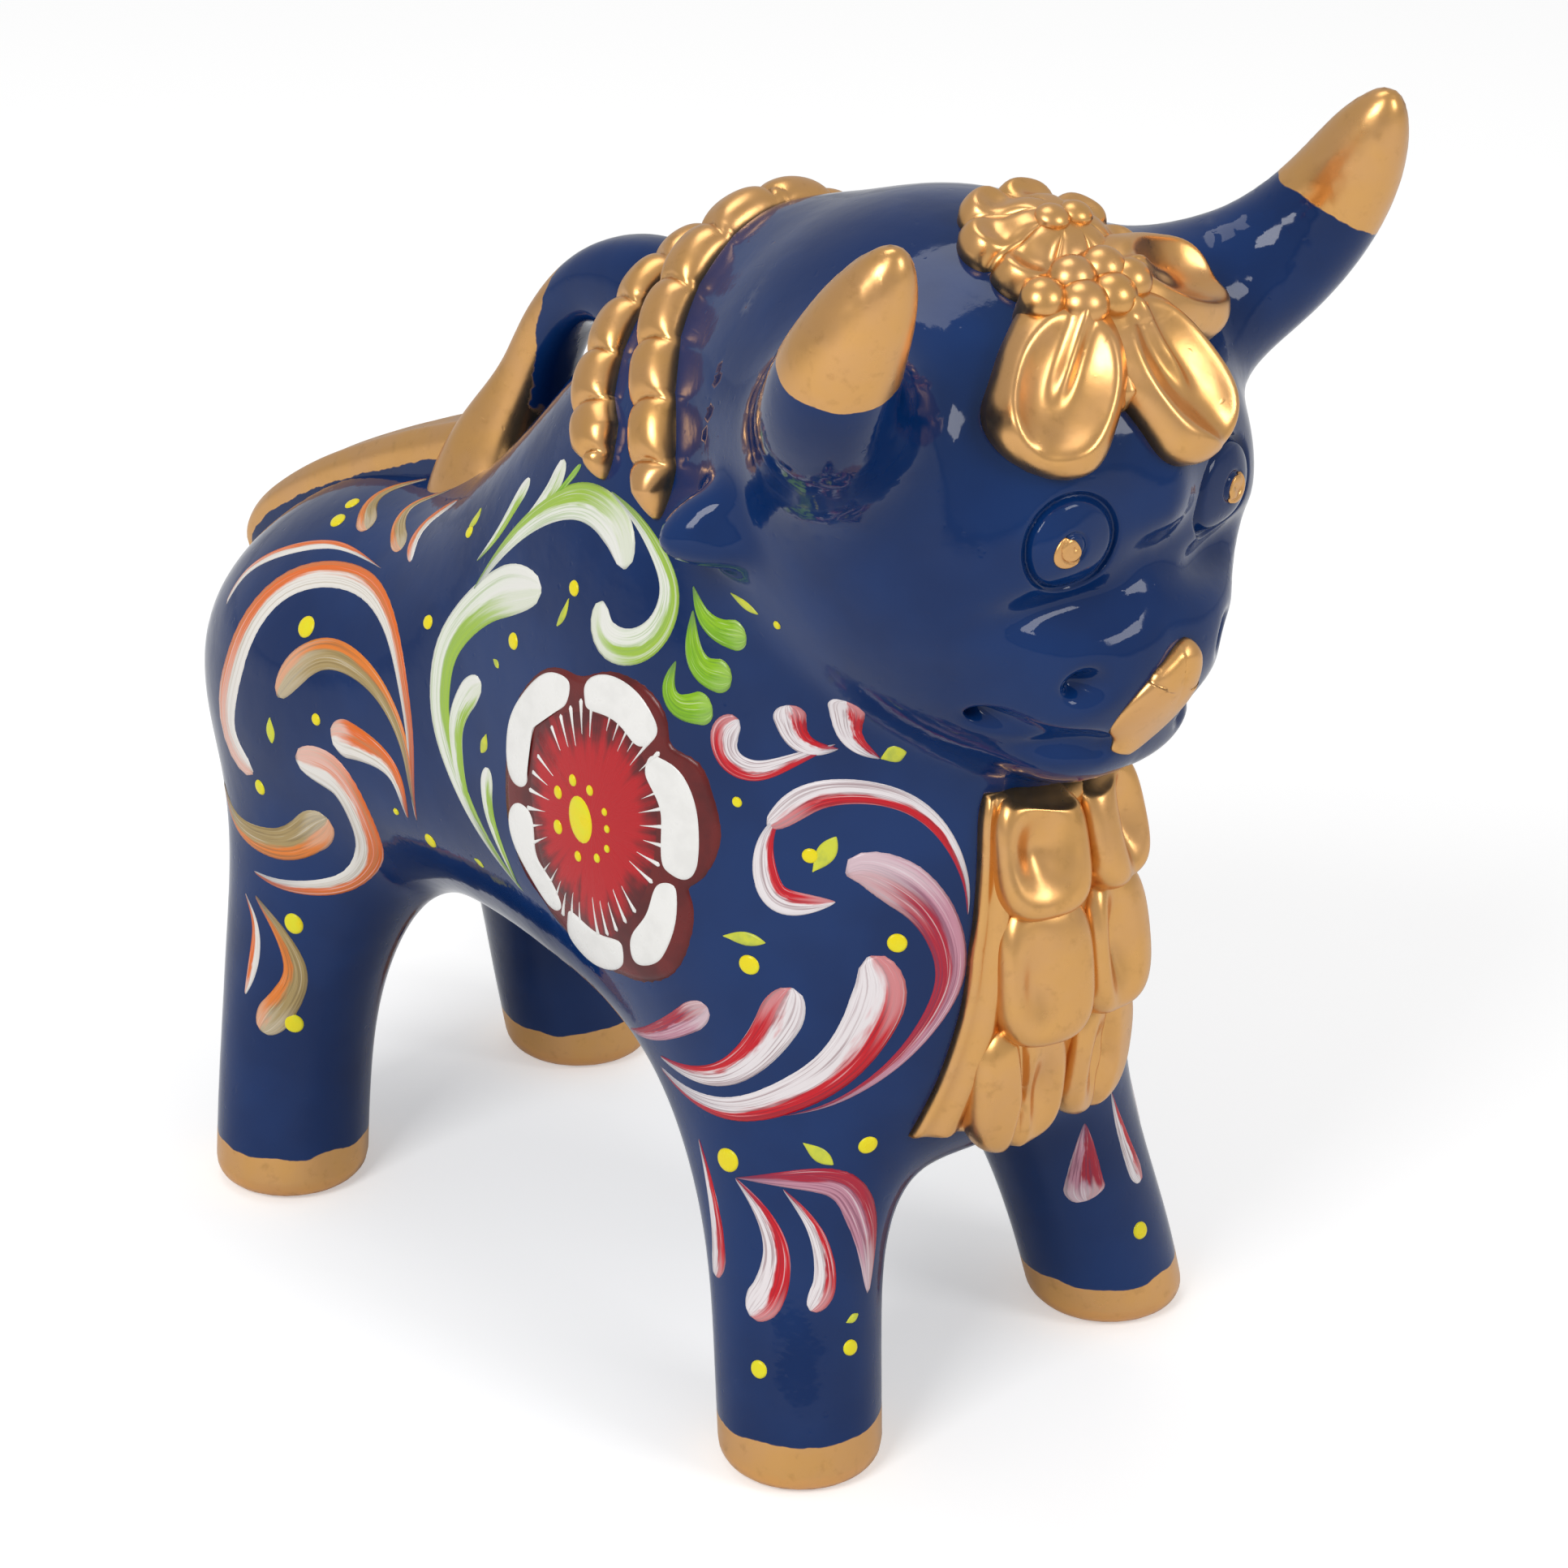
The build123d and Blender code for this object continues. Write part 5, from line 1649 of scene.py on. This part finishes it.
FLOWER_CORE = ((-39.9, -10.6, 106.5), (-40.1, -16.4, 111.1), (-40.4, -23.5, 113.4), (-40.5, -30.3, 112.9), (-40.5, -35.4, 109.2), (-40.6, -38, 103.9), (-41, -38.3, 96.4), (-41.6, -37.3, 89.6), (-42.2, -34.7, 83.8), (-41.8, -29, 77.3), (-41, -22.3, 76.2), (-41.1, -17, 79.6), (-40.9, -12.1, 83.1), (-40.9, -10.1, 89.2), (-40.4, -8.7, 96.6))
PETALS = (
    ((-39, -10.9, 114.1), (-39.5, -15.7, 115.8), (-39.8, -18.2, 115.1), (-40.1, -18, 112.4), (-40.2, -15.9, 110.2), (-40, -11.2, 106.7), (-40, -9.6, 103.9), (-40.2, -8.6, 99.7), (-40.4, -8.7, 96.2), (-40.3, -6.9, 94.4), (-39.9, -4.2, 94.9), (-39.4, -2.8, 98.3), (-39, -3.1, 103.8), (-38.9, -5.9, 109)),
    ((-39.9, -21, 115.6), (-39.8, -22.9, 117.7), (-39.8, -27.1, 119), (-39.7, -32.2, 118.2), (-39.7, -35.7, 115.6), (-40, -37, 113), (-40.3, -35.3, 110.6), (-40.6, -33, 110), (-40.6, -30.5, 111.5), (-40.6, -26.8, 112.6), (-40.5, -22.5, 112.4), (-40.2, -21.3, 113.5)),
    ((-40.4, -35.4, 109.5), (-40.2, -37.7, 109.8), (-39.7, -41.2, 108.5), (-39.4, -43.8, 104.7), (-39.4, -44.8, 100.4), (-39.7, -45, 96.3), (-40, -44.4, 93.1), (-40.6, -42.5, 91.5), (-41.1, -39.9, 91.9), (-41.1, -38.4, 93.7), (-40.9, -38.2, 98.7), (-40.7, -37.6, 102.3), (-40.8, -35.7, 105.1), (-40.7, -34.6, 107.1)),
    ((-41.4, -38.2, 90.3), (-41, -40.8, 91), (-41, -41.8, 89), (-41.5, -41.7, 84.5), (-41.8, -39.9, 79.6), (-41.9, -37.4, 76.7), (-41.8, -33.6, 75.3), (-42, -32.3, 77.3), (-42.2, -33.1, 80.5), (-42.1, -35.7, 84.1), (-41.8, -37, 87.6)),
    ((-41, -18, 78.7), (-41.3, -21, 78.3), (-41.6, -25.6, 77.6), (-42, -30.2, 78.2), (-41.8, -31.1, 76.4), (-41.3, -29.9, 73.4), (-40.2, -24.9, 70.8), (-39.1, -19.5, 70.5), (-39.4, -16, 73), (-40.4, -16.7, 76.4)),
    ((-40.1, -4.9, 91.6), (-40.5, -7.6, 92.6), (-40.8, -10.1, 91.2), (-41, -10.7, 87.4), (-40.9, -11.6, 84.5), (-41.1, -14.4, 82.3), (-40.9, -16.3, 79.3), (-40.5, -15.8, 77.4), (-39.9, -12.9, 76.6), (-40.1, -8.9, 80.1), (-40.2, -5.3, 84.1), (-40, -3.6, 88.4)),
)
NEEDLE_RING = ((-41.8, -24.1, 95.8), (-0.1, -15.6, 5.3), (0.3, -0.1, 19.6))
SEEDS = ((-41.7, -21.9, 95, 2.9), (-41.4, -20, 100.6, 0.9), (-41.5, -23.9, 100.3, 0.8), (-41.7, -27.2, 98, 0.6), (-41.9, -27.8, 95.5, 0.6), (-42, -27.9, 92.4, 0.6), (-42.1, -25.8, 90.2, 0.7), (-42, -21.5, 89, 0.8), (-41.5, -16.7, 92, 1.1), (-41.2, -16.6, 97.5, 1.0))


@dataclass
class FolkPainting:
    """The flower and scrolls on both flanks and the legs, in the way of a traditional folk brush."""

    layer: Layer
    thick: float = 0.16

    def both(self, places: Array) -> list[Array]:
        """Return places and their mirror images; the front legs' feet differ, so there only the places."""
        one_leg = places[:, 1].mean() < -58 and places[:, 2].mean() < 42
        return [places] if one_leg else [places, places * [-1.0, 1.0, 1.0]]

    def scrolls(self, paints: dict[Paint, bpy.types.Material]) -> list[bpy.types.Object]:
        """Return the strokes, one piece for each paint."""
        bundles = {paint: Bundle() for paint in Paint}
        for number, stroke in enumerate(FLANK_STROKES + LEG_STROKES):
            for side, knots in enumerate(self.both(np.array(stroke.places))):
                rise = self.thick * (1 + 0.16 * (number % 5))

                def height(t: Array, v: Array, rise: float = rise) -> Array:
                    """Return the rise: a thin cushion, a little thicker at the stroke's edges."""
                    return rise * (np.clip(1 - v**6, 0, 1) ** 0.5) * (0.8 + 0.35 * v**2) * (0.6 + 0.4 * t)

                self.layer.ribbon(
                    bundles[stroke.paint],
                    knots,
                    lambda t, s=stroke: s.half * np.maximum(s.shape.width(t), 0.01),
                    height,
                    steps=46,
                    columns=9,
                    offset=float(number * 2 + side),
                )
        return [bundle.piece(paint.value, [paints[paint]], "navy_enamel") for paint, bundle in bundles.items()]

    def dots(self, yellow: bpy.types.Material, leaf_yellow: bpy.types.Material) -> list[bpy.types.Object]:
        """Return the dots and the small leaves beside them."""
        bundle = Bundle()
        for x, y, z, radius in DOTS:
            for place in self.both(np.array([[x, y, z]])):
                self.layer.dome(
                    bundle,
                    self.layer.skin.settle(place, 4)[0],
                    np.array([0, 0.2, 1.0]),
                    lambda a, r=radius: r * (1 + 0.04 * np.sin(2 * a + x)),
                    lambda s, a: 0.28 * np.clip(1 - s**3, 0, 1) ** 0.5 + 0.02,
                    rings=7,
                    spokes=26,
                )
        made = [bundle.piece("yellow_dots", [yellow], "navy_enamel")]
        bundle = Bundle()
        for number, (half, places) in enumerate(DOT_LEAVES):
            for knots in self.both(np.array(places)):
                self.layer.ribbon(
                    bundle,
                    knots,
                    lambda t, h=half: np.maximum(h * leaf(t**1.2), 0.02),
                    lambda t, v: self.thick * np.clip(1 - v**4, 0, 1) ** 0.5 + 0 * t,
                    steps=24,
                    columns=7,
                    offset=float(number),
                )
        made.append(bundle.piece("yellow_leaves", [leaf_yellow], "navy_enamel"))
        return made

    def flower(self, paints: dict[str, bpy.types.Material]) -> list[bpy.types.Object]:
        """Return the flower's maroon ground, red heart, white petals, white rays and yellow seeds."""
        made = []
        grounds = (
            ("flower_ground", "maroon", (FLOWER_EDGE,), 0.14),
            ("flower_heart", "heart", (FLOWER_CORE,), 0.22),
            ("flower_petals", "white", PETALS, 0.36),
        )
        for name, paint, outlines, rise in grounds:
            bundle = Bundle()
            for outline in outlines:
                for edge in self.both(np.array(outline)):
                    self.layer.patch(
                        bundle, edge, lambda s, rise=rise: rise * np.clip(1 - s**8, 0, 1) ** 0.5 + 0.02, rings=12, spokes=88
                    )
            made.append(bundle.piece(name, [paints[paint]], "navy_enamel"))
        bundle = Bundle()
        middle, along, up = (np.array(part) for part in NEEDLE_RING)
        turns = np.radians(np.arange(4, 364, 9.0))
        turns = turns[np.abs(np.mod(np.degrees(turns) - 22, 60) - 30) < 27]
        for number, turn in enumerate(turns):
            inner = 0.60 + 0.10 * ((number * 7) % 5) / 4
            shares = np.array([inner, (inner + 1.0) / 2, 1.02])[:, None]
            ray = middle + shares * (np.cos(turn) * along + np.sin(turn) * up)
            for knots in self.both(ray):
                self.layer.ribbon(
                    bundle,
                    knots,
                    lambda t: np.maximum(0.62 * t**1.3, 0.02),
                    lambda t, v: 0.36 * np.clip(1 - v**2, 0, 1) ** 0.5 + 0 * t,
                    steps=9,
                    columns=5,
                )
        made.append(bundle.piece("flower_rays", [paints["white"]], "navy_enamel"))
        bundle = Bundle()
        for number, (x, y, z, radius) in enumerate(SEEDS):
            for place in self.both(np.array([[x, y, z]])):
                tall = 1.4 if number == 0 else 1.15
                self.layer.dome(
                    bundle,
                    self.layer.skin.settle(place, 4)[0],
                    np.array([0, 0.2, 1.0]),
                    lambda a, r=radius, tall=tall: r / np.sqrt((np.cos(a) / tall) ** 2 + np.sin(a) ** 2),
                    lambda s, a: 0.52 * np.clip(1 - s**3, 0, 1) ** 0.5 + 0.02,
                    rings=7,
                    spokes=26,
                )
        made.append(bundle.piece("flower_seeds", [paints["yellow"]], "navy_enamel"))
        return made


@dataclass
class Studio:
    """A plain white floor and surround, soft lamps, and the camera of the photograph."""

    aim: tuple[float, float, float] = (0.0, 0.0, 0.1)
    back: tuple[float, float, float] = (-0.6371, -0.6474, 0.4182)
    right: tuple[float, float, float] = (0.7128, -0.7014, 0.0)
    up: tuple[float, float, float] = (0.2933, 0.2981, 0.9083)
    offsets: tuple[float, float, float] = (0.7520, 0.015384, -0.018104)
    lens: float = 111.83
    surround: float = 0.42
    gloss_share: float = 0.28
    lamps: tuple = (
        ("key_lamp", (-1.15, -0.25, 1.05), 0.6, 10.5),
        ("front_lamp", (0.35, -1.3, 0.85), 0.5, 5.0),
        ("top_lamp", (0.15, 0.35, 1.5), 0.7, 4.0),
    )

    def white_to(self, tree: bpy.types.NodeTree) -> Socket:
        """Return 1 for rays straight from the camera or a glass, nearly that from a gloss, else 0."""
        path = tree.nodes.new("ShaderNodeLightPath")
        most = tree.nodes.new("ShaderNodeMath")
        most.operation = "MAXIMUM"
        soft = tree.nodes.new("ShaderNodeMath")
        soft.operation = "MULTIPLY"
        soft.inputs[1].default_value = self.gloss_share
        tree.links.new(path.outputs["Is Camera Ray"], most.inputs[0])
        tree.links.new(path.outputs["Is Glossy Ray"], soft.inputs[0])
        tree.links.new(soft.outputs[0], most.inputs[1])
        last = tree.nodes.new("ShaderNodeMath")
        last.operation = "MAXIMUM"
        tree.links.new(most.outputs[0], last.inputs[0])
        tree.links.new(path.outputs["Is Transmission Ray"], last.inputs[1])
        return last.outputs[0]

    def build_world(self) -> None:
        """Give the world a white that lights softly and looks fully white."""
        world = bpy.data.worlds.new("surround")
        bpy.context.scene.world = world
        world.use_nodes = True
        tree = world.node_tree
        tree.nodes.clear()
        shine = tree.nodes.new("ShaderNodeBackground")
        shine.inputs["Color"].default_value = (1.0, 1.0, 1.0, 1.0)
        level = tree.nodes.new("ShaderNodeMapRange")
        tree.links.new(self.white_to(tree), level.inputs[0])
        level.inputs[3].default_value = self.surround
        level.inputs[4].default_value = 1.0
        tree.links.new(level.outputs[0], shine.inputs["Strength"])
        tree.links.new(shine.outputs[0], tree.nodes.new("ShaderNodeOutputWorld").inputs[0])

    def build_floor(self) -> None:
        """Lay the floor: white, and keeping the bull's soft shadow."""
        mesh = bpy.data.meshes.new("floor")
        reach = 6.0
        corners = [(-reach, -reach, -0.0002), (reach, -reach, -0.0002), (reach, reach, -0.0002), (-reach, reach, -0.0002)]
        mesh.from_pydata(corners, [], [(0, 1, 2, 3)])
        material = bpy.data.materials.new("white_floor")
        material.use_nodes = True
        tree = material.node_tree
        tree.nodes.clear()
        matt = tree.nodes.new("ShaderNodeBsdfDiffuse")
        matt.inputs["Color"].default_value = (0.8, 0.8, 0.8, 1.0)
        glow = tree.nodes.new("ShaderNodeEmission")
        glow.inputs["Color"].default_value = (1.0, 1.0, 1.0, 1.0)
        level = tree.nodes.new("ShaderNodeMath")
        level.operation = "MULTIPLY"
        tree.links.new(self.white_to(tree), level.inputs[0])
        level.inputs[1].default_value = 0.4
        tree.links.new(level.outputs[0], glow.inputs["Strength"])
        both = tree.nodes.new("ShaderNodeAddShader")
        tree.links.new(matt.outputs[0], both.inputs[0])
        tree.links.new(glow.outputs[0], both.inputs[1])
        tree.links.new(both.outputs[0], tree.nodes.new("ShaderNodeOutputMaterial").inputs[0])
        mesh.materials.append(material)
        floor = bpy.data.objects.new("floor", mesh)
        bpy.context.scene.collection.objects.link(floor)

    def build_lamps(self) -> None:
        """Hang the lamps: large squares that face the bull."""
        for name, place, side, power in self.lamps:
            lamp = bpy.data.lights.new(name, "AREA")
            lamp.shape = "SQUARE"
            lamp.size = side
            lamp.energy = power
            hung = bpy.data.objects.new(name, lamp)
            hung.location = place
            hung.rotation_euler = (Vector(self.aim) - Vector(place)).to_track_quat("-Z", "Y").to_euler()
            bpy.context.scene.collection.objects.link(hung)

    def build_camera(self) -> None:
        """Set up the camera at the photograph's angle."""
        lens = bpy.data.cameras.new("camera")
        lens.lens = self.lens
        lens.sensor_width = 36.0
        lens.clip_start, lens.clip_end = 0.05, 30.0
        camera = bpy.data.objects.new("camera", lens)
        axes = [Vector(self.right), Vector(self.up), Vector(self.back)]
        far, aside, above = self.offsets
        place = Vector(self.aim) + far * axes[2] + aside * axes[0] + above * axes[1]
        camera.matrix_world = Matrix.Translation(place) @ Matrix(axes).transposed().to_4x4()
        bpy.context.scene.collection.objects.link(camera)
        bpy.context.scene.camera = camera

    def build(self) -> None:
        """Build the whole studio."""
        bpy.context.scene.view_settings.view_transform = "Standard"
        self.build_world()
        self.build_floor()
        self.build_lamps()
        self.build_camera()


def main() -> None:
    """Build the studio and the bull, in order."""
    logging.basicConfig(level=logging.INFO, format="%(relativeCreated)6.0f ms %(name)s: %(message)s")
    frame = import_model()
    Studio().build()

    enamel = EnamelAndLustre(GoldPlace.TIPS).dress("navy_enamel_gold_tips")
    lustre = EnamelAndLustre(GoldPlace.MARKED).dress("gold_lustre_on_enamel")
    white = PlainPaint((0.90, 0.89, 0.86), (0.84, 0.83, 0.80)).dress("white_paint")
    yellow = PlainPaint((0.87, 0.72, 0.006), (0.80, 0.76, 0.02)).dress("yellow_paint")
    leaf_yellow = PlainPaint((0.66, 0.68, 0.05), (0.45, 0.52, 0.07), 400.0).dress("leaf_yellow_paint")
    maroon = PlainPaint((0.15, 0.010, 0.009), (0.085, 0.006, 0.007), 150.0).dress("maroon_paint")
    heart = FlowerHeart().dress("red_heart_paint")
    paints = {
        Paint.LEAF_GREEN: BrushPaint((0.82, 0.84, 0.74), (0.36, 0.55, 0.06), (0.28, 0.46, 0.10), (0.85, 0.84, 0.79), 0.0, 0.5, 0.8).dress("brush_leaf_green"),
        Paint.LIME: BrushPaint((0.28, 0.55, 0.010), (0.22, 0.48, 0.012), (0.10, 0.24, 0.02), (0.72, 0.80, 0.45), 0.0, 0.5, 0.15).dress("brush_lime"),
        Paint.ORANGE: BrushPaint((0.84, 0.80, 0.74), (0.80, 0.155, 0.018), (0.34, 0.25, 0.12), (0.85, 0.82, 0.78), 0.1, 0.45, 0.5).dress("brush_orange"),
        Paint.KHAKI: BrushPaint((0.42, 0.30, 0.12), (0.80, 0.22, 0.03), (0.16, 0.11, 0.045), (0.78, 0.72, 0.60), -0.2, 0.5, 0.35).dress("brush_khaki"),
        Paint.RED: BrushPaint((0.60, 0.004, 0.014), (0.84, 0.78, 0.79), (0.16, 0.012, 0.030), (0.84, 0.78, 0.79), 0.12, 0.55, 0.3).dress("brush_red"),
        Paint.ROSE: BrushPaint((0.42, 0.012, 0.035), (0.56, 0.26, 0.34), (0.16, 0.03, 0.08), (0.83, 0.76, 0.78), 0.0, 0.6, 0.5).dress("brush_rose"),
    }

    skin = Skin()
    layer = Layer(skin)
    replaced = {
        "clay_skin": (Clay(skin).build(enamel), (
            "body_shell", "head", "front_left_leg", "front_right_leg", "rear_left_leg", "rear_right_leg",
            "left_eye", "right_eye", "left_horn", "right_horn", "left_ear", "right_ear",
        )),
        "handle": (Handle().build(lustre), ("back_handle",)),
        "tail": (Tail().build(lustre), ("tail",)),
    }
    for piece, nodes in replaced.values():
        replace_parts(piece, *nodes)
    for piece, node in zip(NeckRopes().build(layer, lustre), ("neck_rope_front", "neck_rope_rear")):
        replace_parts(piece, node)
    brow = Brow(skin)
    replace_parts(brow.build_flower(layer, lustre), "forehead_flower")
    near, front, far, pleats, beads = brow.build_ribbon(layer, lustre)
    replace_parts(near, "ribbon_loop_right")
    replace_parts(front, "ribbon_loop_front")
    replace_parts(far, "ribbon_loop_left")
    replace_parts(beads, "ribbon_bud")
    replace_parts(Face().build(layer, lustre)[0], "tongue")
    band, *folds = Frill().build(layer, lustre)
    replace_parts(band, "frill_strip")
    sides = [f"frill_fold_{level}_{side}" for side in ("right", "left") for level in ("upper", "middle", "lower")]
    for piece, node in zip(folds, sides):
        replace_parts(piece, node)

    painting = FolkPainting(layer)
    painting.scrolls(paints)
    painting.dots(yellow, leaf_yellow)
    painting.flower({"maroon": maroon, "heart": heart, "white": white, "yellow": yellow})


if __name__ == "__main__":
    main()
